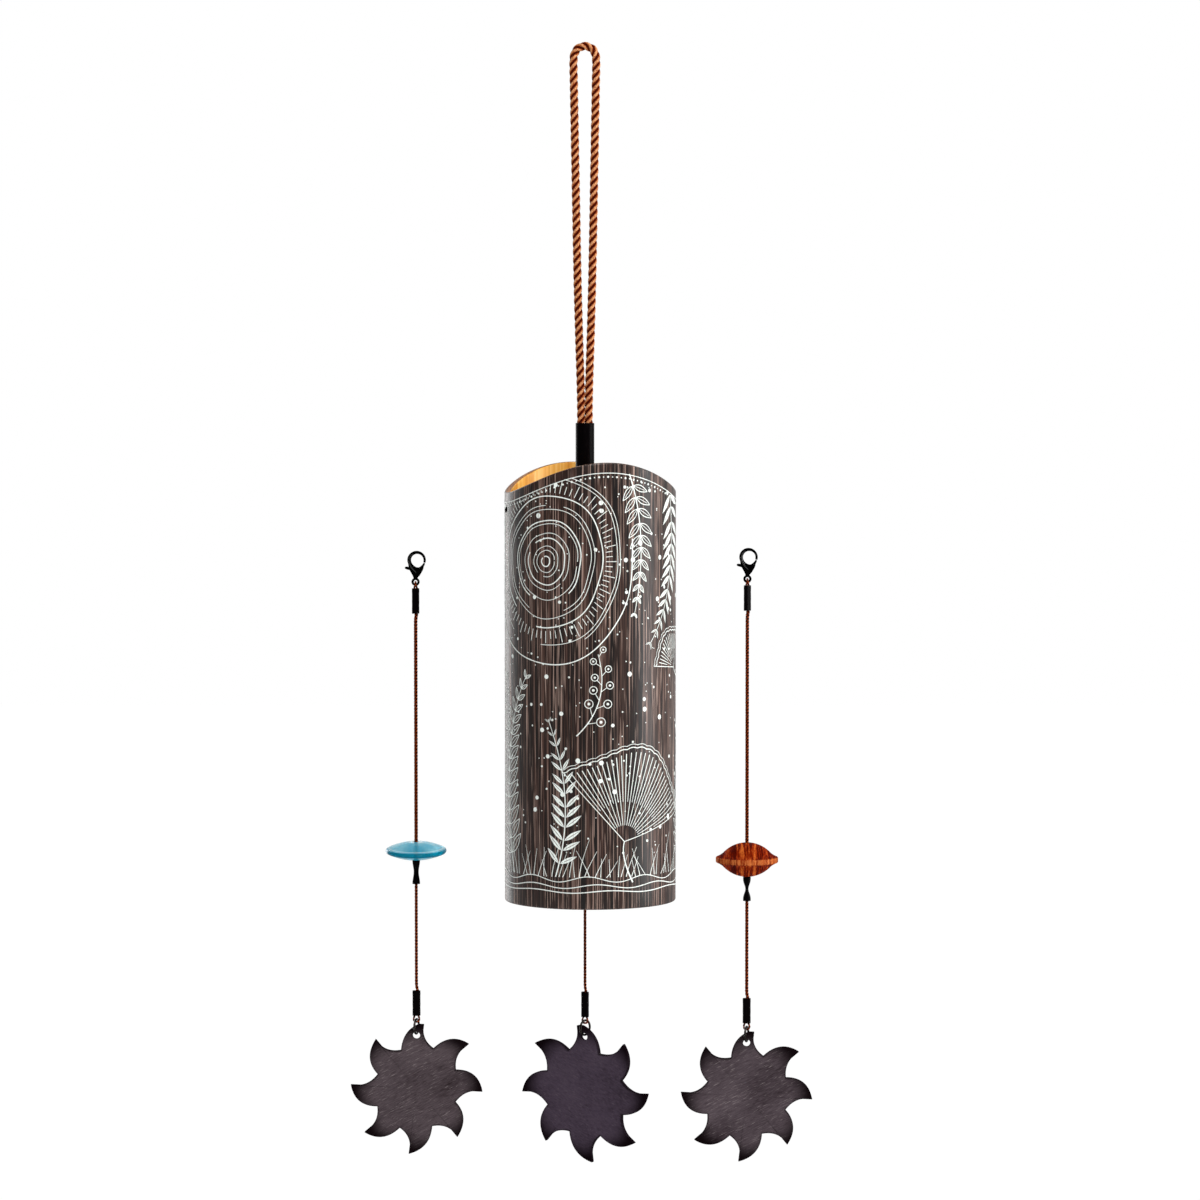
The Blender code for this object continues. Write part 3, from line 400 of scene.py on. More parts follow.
def skin(rows, ring=True, loop=False, sheet=False):
    """A surface through a grid of points, as points, face corners, face sizes and corner places.

    Rows run along the surface and columns around it. A ring joins the last column to the first,
    and a loop the last row to the first. A ring that is no loop gets a face over each end. A
    face's corners run so that its outside is out, which the sign of the volume tells.
    """
    count, around = rows.shape[:2]
    points = rows.reshape(-1, 3)
    i, j = np.meshgrid(np.arange(count if loop else count - 1),
                       np.arange(around if ring else around - 1), indexing="ij")
    corners = ((i, j), (i, j + 1), (i + 1, j + 1), (i + 1, j))
    quads = np.stack([(a % count) * around + b % around for a, b in corners], -1).reshape(-1, 4)
    middle = rows.mean(axis=1)
    along = run_along(np.vstack([middle, middle[:1]]))
    spots = np.stack([np.stack([b / around, along[a]], -1) for a, b in corners], -2).reshape(-1, 2)
    loops = [quads.reshape(-1)]
    sizes = [np.full(len(quads), 4)]
    if ring and not loop and not sheet:
        first = np.arange(around)[::-1]
        last = np.arange(around) + (count - 1) * around
        loops += [first, last]
        sizes.append(np.array([around, around]))
        spots = np.vstack([spots, np.zeros((2 * around, 2))])
    loops = np.concatenate(loops)
    sizes = np.concatenate(sizes)
    if not sheet:
        a, b, c, d = (points[quads[:, k]] - points.mean(axis=0) for k in range(4))
        volume = (np.cross(a, b) * c).sum() + (np.cross(a, c) * d).sum()
        if volume < 0.0:
            starts = np.repeat(np.cumsum(sizes) - sizes, sizes)
            ends = np.repeat(np.cumsum(sizes) - 1, sizes)
            turned_order = starts + ends - np.arange(len(loops))
            loops = loops[turned_order]
            spots = spots[turned_order]
    return points, loops, sizes, spots


def set_attributes(mesh, attributes):
    """Keep a value at each point of a mesh under each name, for its material."""
    for key, values in attributes.items():
        layer = mesh.attributes.new(key, "FLOAT", "POINT")
        layer.data.foreach_set("value", values.astype(np.float32))


def make_mesh(name, shells, attributes=None):
    """One mesh of several surfaces, in metres, smooth but for its sharp edges."""
    starts = np.cumsum([0] + [len(shell[0]) for shell in shells])
    points = np.vstack([shell[0] for shell in shells]) * MM
    loops = np.concatenate([shell[1] + start for shell, start in zip(shells, starts)])
    sizes = np.concatenate([shell[2] for shell in shells])
    spots = np.vstack([shell[3] for shell in shells])
    mesh = bpy.data.meshes.new(name)
    mesh.vertices.add(len(points))
    mesh.vertices.foreach_set("co", points.astype(np.float32).ravel())
    mesh.loops.add(len(loops))
    mesh.loops.foreach_set("vertex_index", loops.astype(np.int32))
    mesh.polygons.add(len(sizes))
    mesh.polygons.foreach_set("loop_start", (np.cumsum(sizes) - sizes).astype(np.int32))
    mesh.update(calc_edges=True)
    layer = mesh.uv_layers.new(name="surface")
    layer.data.foreach_set("uv", spots.astype(np.float32).ravel())
    set_attributes(mesh, attributes or {})
    mesh.validate()
    mesh.shade_smooth()
    mesh.set_sharp_from_angle(angle=SMOOTH_ANGLE)
    return mesh


def add_piece(name, shells, material, body, replaced=(), attributes=None):
    """Put a piece into the scene, ride it on its body and hide the solids that it stands for."""
    obj = bpy.data.objects.new(name, make_mesh(name, shells, attributes))
    bpy.context.scene.collection.objects.link(obj)
    obj.data.materials.append(material)
    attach(obj, body)
    if replaced:
        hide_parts(*replaced)
    return obj


def drill(obj, cutters):
    """Cut a piece's mesh by closed surfaces and keep its material."""
    for cutter in cutters:
        tool = bpy.data.objects.new("cutter", make_mesh("cutter", [cutter]))
        bpy.context.scene.collection.objects.link(tool)
        step = obj.modifiers.new("cut", "BOOLEAN")
        step.operation = "DIFFERENCE"
        step.solver = "EXACT"
        step.object = tool
        graph = bpy.context.evaluated_depsgraph_get()
        mesh = bpy.data.meshes.new_from_object(obj.evaluated_get(graph))
        obj.modifiers.clear()
        old = obj.data
        obj.data = mesh
        bpy.data.meshes.remove(old)
        bpy.data.objects.remove(tool, do_unlink=True)
    obj.data.shade_smooth()
    obj.data.set_sharp_from_angle(angle=SMOOTH_ANGLE)


def turned(profile, steps, loop=False):
    """A profile of radius and height carried round the Z axis."""
    profile = np.asarray(profile, float)
    turn = np.arange(steps) / steps * TAU
    rows = np.empty((len(profile), steps, 3))
    rows[..., 0] = profile[:, :1] * np.cos(turn)
    rows[..., 1] = profile[:, :1] * np.sin(turn)
    rows[..., 2] = profile[:, 1:]
    return skin(rows, loop=loop)


def moved(shell, place=(0.0, 0.0, 0.0), yaw=0.0, lay=None):
    """A surface laid along another axis, then turned about Z and shifted."""
    points = shell[0]
    if lay == "X":
        points = points[:, [2, 0, 1]]
    if lay == "Y":
        points = points[:, [0, 2, 1]] * np.array([1.0, -1.0, 1.0])
    return (points @ about_z(yaw) + np.asarray(place, float), *shell[1:])


def block(half_x, half_y, heights):
    """A box about the Z axis, between two heights."""
    corners = [(-half_x, -half_y), (half_x, -half_y), (half_x, half_y), (-half_x, half_y)]
    return skin(np.array([[(x, y, z) for x, y in corners] for z in heights]))


def arc(centre, radius, start, end, count):
    """Points on a circle from one angle to another, both ends included."""
    return np.asarray(centre) + radius * circle(np.linspace(start, end, count))


def rounded(profile, radius, count=5):
    """A chain of points whose inner corners are replaced by short arcs.

    Each corner becomes the quadratic curve that starts and ends one radius away from it.
    """
    profile = np.asarray(profile, float)
    before, corner, after = profile[:-2], profile[1:-1], profile[2:]
    back = before - corner
    ahead = after - corner
    back_length = np.linalg.norm(back, axis=1, keepdims=True)
    ahead_length = np.linalg.norm(ahead, axis=1, keepdims=True)
    start = corner + back * np.minimum(radius / back_length, 0.45)
    end = corner + ahead * np.minimum(radius / ahead_length, 0.45)
    t = np.linspace(0.0, 1.0, count)[None, :, None]
    curves = quadratic(start[:, None], corner[:, None], end[:, None], t)
    return np.vstack([profile[:1], curves.reshape(-1, profile.shape[1]), profile[-1:]])


def rounded_ring(inner, outer, low, high, radius, steps):
    """A rectangular section with rounded edges carried round the Z axis."""
    middle = (low + high) / 2
    section = [(inner, middle), (inner, high), (outer, high), (outer, low), (inner, low), (inner, middle)]
    return turned(rounded(section, radius)[:-1], steps, loop=True)


def smooth_route(route, spacing):
    """A smooth curve through a route's points, with its own points evenly spaced.

    Between two points it is the cubic that leaves and arrives along its neighbours' chords.
    """
    points = np.asarray(route, float)
    ends = np.vstack([2 * points[0] - points[1], points, 2 * points[-1] - points[-2]])
    length = np.linalg.norm(np.diff(ends, axis=0), axis=1)
    start, end = ends[1:-2], ends[2:-1]
    leave = (end - ends[:-3]) * np.minimum(0.5, 0.5 * length[1:-1] / length[:-2])[:, None]
    arrive = (ends[3:] - start) * np.minimum(0.5, 0.5 * length[1:-1] / length[2:])[:, None]
    fine = np.linspace(0.0, len(start), 24 * len(start) + 1)
    index = np.minimum(fine.astype(int), len(start) - 1)
    t = (fine - index)[:, None]
    curve = (start[index] * (2 * t ** 3 - 3 * t ** 2 + 1) + leave[index] * (t ** 3 - 2 * t ** 2 + t)
             + end[index] * (3 * t ** 2 - 2 * t ** 3) + arrive[index] * (t ** 3 - t ** 2))
    run = run_along(curve)
    at = np.linspace(0.0, run[-1], max(2, round(run[-1] / spacing) + 1))
    return np.stack([np.interp(at, run, curve[:, k]) for k in range(3)], -1)


def turned_points(route):
    """Places of a route that gives each point's distance from the axis, its turn and height."""
    offset, degrees, height = np.asarray(route, float).T
    turn = np.radians(degrees)
    return np.stack([offset * np.cos(turn), offset * np.sin(turn), height], -1)


def carried(path):
    """Two directions square to a path at each point, carried along it without a twist.

    Each one is the direction before it, less what it has along the path.
    """
    along = unit(np.gradient(path, axis=0))
    side = np.empty_like(path)
    first = np.cross(along[0], (0.3, 1.0, 0.2))
    side[0] = first / np.linalg.norm(first)
    for i in range(1, len(path)):
        step = side[i - 1] - along[i] * (side[i - 1] @ along[i])
        side[i] = step / np.linalg.norm(step)
    return side, np.cross(along, side)


def swept(path, radius, sides):
    """A round tube along a path, whose radius may change from point to point."""
    side, up = carried(path)
    turn = np.arange(sides) / sides * TAU
    radius = np.broadcast_to(radius, len(path))[:, None, None]
    rows = path[:, None] + radius * (side[:, None] * np.cos(turn)[:, None]
                                     + up[:, None] * np.sin(turn)[:, None])
    return skin(rows)


def wound(side, up, angle):
    """The two directions square to a path, turned about it by an angle at each point."""
    cos, sin = np.cos(angle)[:, None], np.sin(angle)[:, None]
    return side * cos + up * sin, up * cos - side * sin


def yarn_rows(middle, outward, across, deep, wide, sides):
    """An oval section carried along a yarn's middle, with its half widths outward and across."""
    turn = np.arange(sides) / sides * TAU
    return (middle[:, None] + outward[:, None] * (deep * np.cos(turn))[..., None]
            + across[:, None] * (wide * np.sin(turn))[..., None])


def twisted(path, diameter, strands, lay, sides):
    """Strands laid round a path as helices, and how far out each point lies, from 0 to 1.

    A strand's middle goes round the path once in each lay. Its section is an oval that is a
    little wider than the space, so neighbours press on each other as laid yarn does.
    """
    side, up = carried(path)
    run = run_along(path)
    outer = diameter / 2
    out_half = 0.47 * outer
    wide_half = 0.56 * outer
    shells = []
    crowns = []
    for k in range(strands):
        outward, across = wound(side, up, run / lay * TAU + k * TAU / strands)
        middle = path + outward * (outer - out_half)
        rows = yarn_rows(middle, outward, across, out_half, wide_half, sides)
        shells.append(skin(rows))
        far = np.linalg.norm(rows - path[:, None], axis=2) / outer
        crowns.append((np.clip((far - 0.72) / 0.27, 0.0, 1.0) ** 1.8).ravel())
    return shells, np.concatenate(crowns)


def braided(path, diameter, pitch, sides=8):
    """Four yarns braided over a core, and how far out each point lies, from 0 to 1.

    Two yarns turn one way and two the other. A yarn's distance from the path swings as the cosine
    of twice its turn, opposite for the two ways, so it passes over one yarn and under the next.
    All lengths across the path are shares of the cord's radius there.
    """
    side, up = carried(path)
    run = run_along(path)
    outer = (np.broadcast_to(diameter, len(path)) / 2)[:, None]
    thin, wide, swing = 0.26, 0.46, 0.13
    spin = run / pitch * TAU
    core = swept(path, 0.7 * outer[:, 0], 8)
    shells = [core]
    crowns = [np.zeros(len(core[0]))]
    for hand in (1, -1):
        for k in range(2):
            outward, across = wound(side, up, hand * spin + k * TAU / 2 + BRAID_PHASE)
            reach = outer * (1 - thin - swing + hand * swing * np.cos(2 * spin)[:, None])
            middle = path + outward * reach
            rows = yarn_rows(middle, outward, across, outer * thin, outer * wide, sides)
            shells.append(skin(rows))
            far = np.linalg.norm(rows - path[:, None], axis=2) / outer
            crowns.append(np.clip((far - 0.74) / 0.25, 0.0, 1.0).ravel())
    return shells, np.concatenate(crowns)


def inset(outline, distance):
    """A closed outline moved inwards along the mean of the directions at each corner."""
    following = np.roll(outline, -1, axis=0)
    along = unit(unit(following - outline) + unit(outline - np.roll(outline, 1, axis=0)))
    inwards = np.stack([-along[:, 1], along[:, 0]], -1)
    area = (outline[:, 0] * following[:, 1] - outline[:, 1] * following[:, 0]).sum()
    return outline + inwards * distance * np.sign(area)


def pressed(outline, thickness, round_in, round_deep, count=5):
    """A plate in the XZ plane, whose edges round over as quarter ellipses on both faces."""
    outline = np.asarray(outline, float)
    turn = np.linspace(0.0, math.pi / 2, count)
    into = round_in * (1 - np.cos(turn))
    depth = thickness / 2 - round_deep * (1 - np.sin(turn))
    steps = list(zip(into[::-1], -depth[::-1])) + list(zip(into, depth))
    rows = []
    for distance, y in steps:
        edge = inset(outline, distance) if distance > 0.0 else outline
        rows.append(np.stack([edge[:, 0], np.full(len(edge), y), edge[:, 1]], -1))
    return skin(np.array(rows))


def add_aimed(name, data, place, target):
    """Put a camera or a lamp into the scene, looking at a place."""
    obj = bpy.data.objects.new(name, data)
    obj.location = place
    aim = Vector(target) - obj.location
    obj.rotation_euler = aim.to_track_quat("-Z", "Y").to_euler()
    bpy.context.scene.collection.objects.link(obj)
    return obj


def add_camera():
    """The photograph's view: a long lens a little above the middle, looking slightly down."""
    camera = bpy.data.cameras.new("camera")
    camera.lens = CAMERA_LENS_MM
    camera.sensor_width = CAMERA_SENSOR_MM
    camera.clip_end = 50.0
    bpy.context.scene.camera = add_aimed("camera", camera, CAMERA_PLACE, CAMERA_AIM)


def add_lamp(name, place, size, power):
    """A soft rectangular lamp that faces the middle of the chime."""
    light = bpy.data.lights.new(name, "AREA")
    light.shape = "RECTANGLE"
    light.size, light.size_y = size
    light.energy = power
    add_aimed(name, light, place, LAMP_AIM)


def add_studio():
    """A white backdrop, a dim room in front of it, a pale floor far below and three soft lamps."""
    scene = bpy.context.scene
    scene.view_settings.view_transform = "Standard"
    world = bpy.data.worlds.new("studio")
    world.use_nodes = True
    scene.world = world
    graph = Graph(world.node_tree)
    rays = graph.node("ShaderNodeLightPath")
    _, depth, _ = graph.parts(graph.node("ShaderNodeTexCoord", output="Generated"))
    behind = depth.band(0.0, 0.6)
    seen = rays.of("Is Camera Ray").math("MAXIMUM", rays.of("Is Transmission Ray"))
    seen = seen.math("MAXIMUM", rays.of("Is Glossy Ray") * behind)
    room = 0.07 + 0.6 * behind
    background = world.node_tree.nodes["Background"]
    graph.feed(background.inputs["Color"], WHITE)
    graph.feed(background.inputs["Strength"], seen + (1.0 - seen) * room)

    for name, (place, size, power) in LAMPS.items():
        add_lamp(name, place, size, power)

    pale = (0.9, 0.9, 0.9, 1.0)
    floor = Finish("pale_floor", base_color=pale, roughness=0.9, specular_ior_level=0.0)
    rays = floor.node("ShaderNodeLightPath")
    seen = rays.of("Is Camera Ray").math("MAXIMUM", rays.of("Is Transmission Ray"))
    glow = floor.node("ShaderNodeEmission", inputs={"Color": WHITE, "Strength": 1.07})
    plain = Value(floor, floor.shader.outputs[0])
    share = 0.4 + 0.53 * seen
    both = floor.node("ShaderNodeMixShader", inputs={0: share, 1: plain, 2: glow})
    floor.feed(floor.tree.nodes["Material Output"].inputs["Surface"], both)
    half = FLOOR_HALF / MM
    level = FLOOR_LEVEL / MM
    rows = np.array([[[-half, -half, level], [half, -half, level]],
                     [[-half, half, level], [half, half, level]]])
    ground = bpy.data.objects.new("floor", make_mesh("floor", [skin(rows, ring=False, sheet=True)]))
    ground.data.materials.append(floor.material)
    scene.collection.objects.link(ground)


def laid_yarn(name, groove_shade, middle, crest_highlight, yarns, slant, uneven):
    """Yarn with fine threads: painted shade between the strands and an uneven painted highlight on their
    crests.
    """
    finish = Finish(name, specular_ior_level=0.0, sheen_weight=0.03, sheen_roughness=0.4)
    crown = finish.attribute("crown")
    spot = finish.node("ShaderNodeUVMap", {"uv_map": "surface"})
    across, along, _ = finish.parts(spot)
    thread = ((across * yarns + along * slant) * TAU).math("SINE") * 0.5 + 0.5
    fleck = finish.noise(finish.place(), (1.5, 1.5, 1.5), 3.0)
    # Painted shade and highlight: the colour runs from dark in the grooves to pale on the crests by how
    # far out each point lies, with threads and flecks on top
    tone = crown * 0.86 + (thread - 0.5) * 0.16 * crown + (fleck - 0.5) * uneven * crown
    colour = finish.ramp(tone, [(0.06, groove_shade), (0.5, middle), (0.95, crest_highlight)])
    return finish.wear(colour, 0.6 - 0.15 * crown, thread + fleck * 0.5, 0.07, 0.8)


def shrink_sleeve():
    """Black shrunk tubing: a satin skin with faint scuffs along it."""
    finish = Finish("black_sleeve", specular_ior_level=0.03)
    where = finish.place()
    scuff = finish.noise(where, (2.0, 2.0, 0.35), 4.0)
    grain = finish.noise(where, (5.0, 5.0, 5.0), 2.0)
    colour = finish.mix(scuff.band(0.5, 0.75), linear(4, 2, 3), linear(10, 6, 7))
    return finish.wear(colour, 0.28 + 0.16 * scuff, grain, 0.01, 0.4)


def stained_bamboo():
    """Dark stain with pale fibres outside, golden bamboo inside, brown edges, and painted shade round the
    pin holes.
    """
    finish = Finish("stained_bamboo", coat_roughness=0.4, specular_ior_level=0.0)
    where = finish.place()
    x, y, height = finish.parts(where)
    x_off = x - TUBE_AXIS[0]
    y_off = y - TUBE_AXIS[1]
    radius = x_off.reach(y_off)
    broad = finish.noise(where, (0.09, 0.09, 0.004), 2.0)
    fine = finish.noise(where, (0.5, 0.5, 0.008), 3.0, 0.6)
    fibre = finish.noise(where, (1.25, 1.25, 0.014), 2.0, 0.6)
    hair = finish.noise(where, (2.6, 2.6, 0.04), 2.0, 0.5)
    patch = finish.noise(where, (0.25, 0.25, 0.012), 2.0)
    tone = broad * 0.45 + fine * 0.95 - 0.2
    stain = finish.ramp(tone, [(0.4, linear(12, 4, 2)), (0.55, linear(43, 24, 18)),
                               (0.74, linear(92, 65, 55))])
    pale = fibre.band(0.57, 0.65) * (0.2 + patch.band(0.4, 0.6) * 0.8)
    stain = finish.mix(pale * 0.7, stain, linear(168, 138, 126))
    stain = finish.mix(hair.band(0.58, 0.64) * 0.55, stain, linear(196, 166, 152))
    dark = (1.0 - fibre).band(0.53, 0.62)
    stain = finish.mix(dark * 0.9, stain, linear(9, 3, 2))
    stain = finish.mix((1.0 - hair).band(0.58, 0.66) * 0.7, stain, linear(12, 5, 3))
    gold = finish.ramp(fine * 0.7 + fibre * 0.3, [(0.3, linear(200, 126, 36)),
                                                  (0.52, linear(234, 170, 70)),
                                                  (0.75, linear(248, 208, 122))])
    bundle = finish.noise(where, (1.6, 1.6, 0.2), 3.0)
    edge = finish.mix(bundle.band(0.4, 0.62), linear(104, 60, 22), linear(172, 112, 48))
    outside = radius.band(TUBE_R - 0.58, TUBE_R - 0.38)
    inside = 1.0 - radius.band(TUBE_INNER_R + 0.12, TUBE_INNER_R + 0.35)
    colour = finish.mix(inside, edge, gold)
    colour = finish.mix(outside, colour, stain)
    # Painted shade: a near-black spot round each pin hole, where the drilled hole's shade falls, with the
    # coat taken off there
    across = y_off * math.cos(SADDLE_TURN) - x_off * math.sin(SADDLE_TURN)
    drop = height - PIN_Z
    from_pin = (across * across * 0.3 + drop * drop) ** 0.5
    painted_hole_shade = 1.0 - from_pin.band(1.15, 1.5)
    colour = finish.mix(painted_hole_shade, colour, linear(6, 3, 2))
    gloss = 0.44 + 0.14 * fine - outside * 0.06
    relief = fine * 0.3 + fibre * 0.5 + hair * 0.2
    return finish.wear(colour, gloss, relief, 0.06, 0.6, 0.75 - painted_hole_shade * 0.74)


def pale_ink():
    """Pale print, thin enough that the darkest fibres of the stain show through it."""
    finish = Finish("pale_ink", specular_ior_level=0.15)
    where = finish.place()
    fibre = finish.noise(where, (1.25, 1.25, 0.014), 2.0, 0.6)
    speck = finish.noise(where, (3.0, 3.0, 1.5), 3.0)
    worn = (1.0 - fibre).band(0.55, 0.66) * 0.3 + speck.band(0.62, 0.75) * 0.2
    colour = finish.mix(worn, linear(244, 250, 245), linear(140, 130, 122))
    return finish.wear(colour, 0.5 + 0.15 * speck)


def bare_bamboo():
    """Plain bamboo with fine fibres round the ring."""
    finish = Finish("pale_bamboo", specular_ior_level=0.4)
    where = finish.place()
    fine = finish.noise(where, (0.5, 0.5, 2.2), 4.0)
    colour = finish.ramp(fine, [(0.32, linear(186, 126, 52)), (0.52, linear(218, 164, 82)),
                                (0.72, linear(238, 196, 122))])
    return finish.wear(colour, 0.5 + 0.1 * fine, fine, 0.05, 0.5)


def drawn_steel(name, stretch, bright, dull):
    """Steel with the fine lines of drawing or turning."""
    finish = Finish(name, metallic=1.0)
    where = finish.place()
    line = finish.noise(where, stretch, 4.0)
    stain = finish.noise(where, (0.12, 0.12, 0.12), 3.0)
    colour = finish.mix(stain.band(0.4, 0.7), bright, dull)
    return finish.wear(colour, 0.24 + 0.2 * line, line, 0.012, 0.5)


def black_metal(name, gloss):
    """Black enamel on a casting, with a faint orange peel and rubbed patches."""
    finish = Finish(name, specular_ior_level=gloss)
    where = finish.place()
    orange_peel = finish.noise(where, (1.6, 1.6, 1.6), 2.0)
    scuff = finish.noise(where, (0.8, 0.8, 0.8), 4.0)
    colour = finish.mix(scuff.band(0.52, 0.72), linear(3, 3, 3), linear(9, 8, 8))
    return finish.wear(colour, 0.1 + 0.08 * scuff, orange_peel, 0.006, 0.4)


def gunmetal():
    """Dark plated wire."""
    finish = Finish("gunmetal", metallic=1.0)
    where = finish.place()
    rub = finish.noise(where, (1.5, 1.5, 1.5), 3.0)
    colour = finish.mix(rub.band(0.45, 0.7), linear(30, 28, 27), linear(70, 65, 62))
    return finish.wear(colour, 0.24 + 0.15 * rub, rub, 0.008, 0.5)


def teal_acrylic(axis_x, level):
    """Clear teal acrylic, polished: pale on its upper face and deep along its rim, with painted light: a
    painted shadow in front of the hub, painted highlights beside the hub and along the rim's upper edge,
    and a lower face painted bright cyan.
    """
    finish = Finish("teal_acrylic", transmission_weight=0.4, ior=1.2, specular_ior_level=0.25)
    where = finish.place()
    x, y, height = finish.parts(where)
    x_off = x - axis_x
    radius = x_off.reach(y)
    rise = height - level - y * math.tan(LENS_TIP)
    cloud = finish.noise(where, (0.25, 0.25, 0.25), 2.0)
    face = finish.mix(cloud.band(0.35, 0.65), linear(112, 192, 214), linear(150, 212, 226))
    # Painted shadow: a darker teal patch in front of the hub
    painted_hub_shadow = (0.0 - y).band(0.0, 7.0) * (1.0 - x_off.math("ABSOLUTE").band(1.5, 8.0))
    face = finish.mix(painted_hub_shadow * 0.65, face, linear(44, 158, 188))
    # Painted highlight: near-white patches beside the hub, on either side of the cord
    painted_hub_glint = (1.0 - radius.band(2.0, 3.4)) * x_off.math("ABSOLUTE").band(0.5, 0.9)
    face = finish.mix(painted_hub_glint, face, linear(246, 253, 253))
    # Painted light: the lower face is painted a bright saturated cyan, for light coming through the
    # acrylic
    under = 1.0 - rise.band(-1.4, -0.95)
    face = finish.mix(under, face, linear(64, 190, 216))
    # Painted highlight: a pale line round the upper edge of the rim
    lip = radius.band(LENS_R - 1.5, LENS_R - 1.3) * (1.0 - radius.band(LENS_R - 1.0, LENS_R - 0.8))
    face = finish.mix(lip * rise.band(0.3, 0.6) * 0.55, face, linear(222, 242, 246))
    rim = 1.0 - rise.math("ABSOLUTE").band(0.7, 1.0)
    colour = finish.mix(rim * radius.band(LENS_R - 1.2, LENS_R - 0.7), face, linear(8, 128, 154))
    return finish.wear(colour, 0.06 + 0.05 * cloud)


def striped_wood(axis_x, level):
    """Turned red-brown wood: upright dark and light layers, short pores, end grain on the band."""
    finish = Finish("striped_wood", coat_weight=0.03, coat_roughness=0.2, specular_ior_level=0.0)
    where = finish.place()
    x, y, height = finish.parts(where)
    layer = finish.noise(where, (0.85, 0.06, 0.012), 2.0, 0.6)
    fine = finish.noise(where, (2.6, 0.5, 0.05), 3.0, 0.65)
    pore = finish.noise(where, (3.4, 3.4, 0.5), 2.0)
    tone = layer * 1.35 + fine * 0.7 - 0.53
    colour = finish.ramp(tone, [(0.34, linear(70, 8, 2)), (0.46, linear(108, 22, 4)),
                                (0.58, linear(150, 48, 12)), (0.78, linear(206, 104, 42))])
    colour = finish.mix(pore.band(0.56, 0.68) * 0.55, colour, linear(76, 16, 4))
    x_off = x - axis_x
    radius = x_off.reach(y)
    band = 1.0 - (height - level).math("ABSOLUTE").band(0.8, 1.15)
    band = band * radius.band(BEAD_R - 1.1, BEAD_R - 0.5)
    speckle = (fine * 0.6 + pore * 0.4).band(0.42, 0.58)
    end_grain = finish.mix(speckle, linear(138, 46, 14), linear(220, 128, 68))
    colour = finish.mix(band * 0.68, colour, end_grain)
    return finish.wear(colour, 0.36 + 0.14 * fine, fine + pore * 0.4, 0.03, 0.4)


def dark_turned_wood():
    """Dark turned wood with fine upright grain."""
    finish = Finish("dark_turned_wood", coat_weight=0.15, coat_roughness=0.3)
    where = finish.place()
    fine = finish.noise(where, (1.6, 0.5, 0.15), 4.0)
    colour = finish.ramp(fine, [(0.3, linear(40, 30, 30)), (0.7, linear(86, 70, 66))])
    return finish.wear(colour, 0.45 + 0.1 * fine, fine, 0.03, 0.5)


def charred_wood(name, dark, middle, pale, slant, pores):
    """Dark open-pored wood: pale short pores on a slant, burnt towards the tips and cut edges."""
    finish = Finish(name, specular_ior_level=0.0)
    where = finish.place()
    turn = finish.node("ShaderNodeVectorRotate", {"rotation_type": "Y_AXIS"},
                       {"Vector": where, "Angle": slant})
    broad = finish.noise(turn, (0.04, 0.1, 0.07), 3.0)
    fine = finish.noise(turn, (0.30, 1.0, 3.0), 3.0, 0.65)
    pore = finish.noise(turn, (0.30, 1.6, 5.6), 1.0, 0.5)
    tone = broad * 0.48 + fine * 0.56
    colour = finish.ramp(tone, [(0.36, dark), (0.53, middle), (0.74, pale)])
    colour = finish.mix(pore.band(0.66, 0.74) * pores, colour, linear(146, 136, 136))
    colour = finish.mix((1.0 - pore).band(0.64, 0.74) * 0.4, colour, linear(24, 16, 18))
    edge = finish.attribute("edge")
    reach = finish.attribute("reach")
    burnt = (reach + (fine - 0.5) * 0.1 - edge * 0.012).band(0.6, 0.95)
    line = 1.0 - (edge + (fine - 0.5) * 0.6).band(0.0, 0.9)
    scorch = (burnt * 0.96).math("MAXIMUM", line * 0.85)
    colour = finish.mix(scorch, colour, linear(10, 3, 5))
    return finish.wear(colour, 0.52 + 0.14 * fine, fine * 0.5 + pore * 0.5, 0.05, 0.5)


def rim_height(turn):
    """Height of the saddle-cut rim above its mean, a cosine of twice the angle from +X."""
    around = np.arctan2(np.cos(turn), -np.sin(turn))
    return SADDLE_RISE * np.cos(2 * (around - SADDLE_TURN))


def wall_swell(turn):
    """How far the culm is out of round, as the sum of its second and third harmonics."""
    return 0.05 * np.sin(2 * turn + 0.7) + 0.03 * np.sin(3 * turn + 2.1)


def tube_surface():
    """The tube's wall, a rounded section carried round the axis.

    The upper end follows the saddle, whose height is a cosine of twice the angle, and the radius
    swells by a few hundredths of a millimetre.
    """
    steps = 256
    turn = np.arange(steps) / steps * TAU
    levels = np.linspace(0.0, 1.0, 25)
    cut = RIM_ROUND
    bend = np.linspace(0.0, math.pi / 2, 5)
    top = RIM_Z + rim_height(turn)
    sections = []
    for t in levels:
        sections.append((TUBE_R, t, cut * (1 - 2 * t)))
    for a in bend[1:]:
        sections.append((TUBE_R - cut + cut * math.cos(a), 1.0, -cut + cut * math.sin(a)))
    for a in bend:
        sections.append((TUBE_INNER_R + cut - cut * math.sin(a), 1.0, -cut + cut * math.cos(a)))
    for t in levels[::-1][1:]:
        sections.append((TUBE_INNER_R, t, cut * (1 - 2 * t)))
    for a in bend[1:]:
        sections.append((TUBE_INNER_R + cut - cut * math.cos(a), 0.0, cut - cut * math.sin(a)))
    for a in bend[:-1]:
        sections.append((TUBE_R - cut + cut * math.sin(a), 0.0, cut - cut * math.cos(a)))
    rows = []
    for radius, t, shift in sections:
        reach = radius + wall_swell(turn)
        height = MOUTH_Z + (top - MOUTH_Z) * t + shift
        rows.append(oval(reach, reach, height, turn))
    return skin(np.array(rows), loop=True)


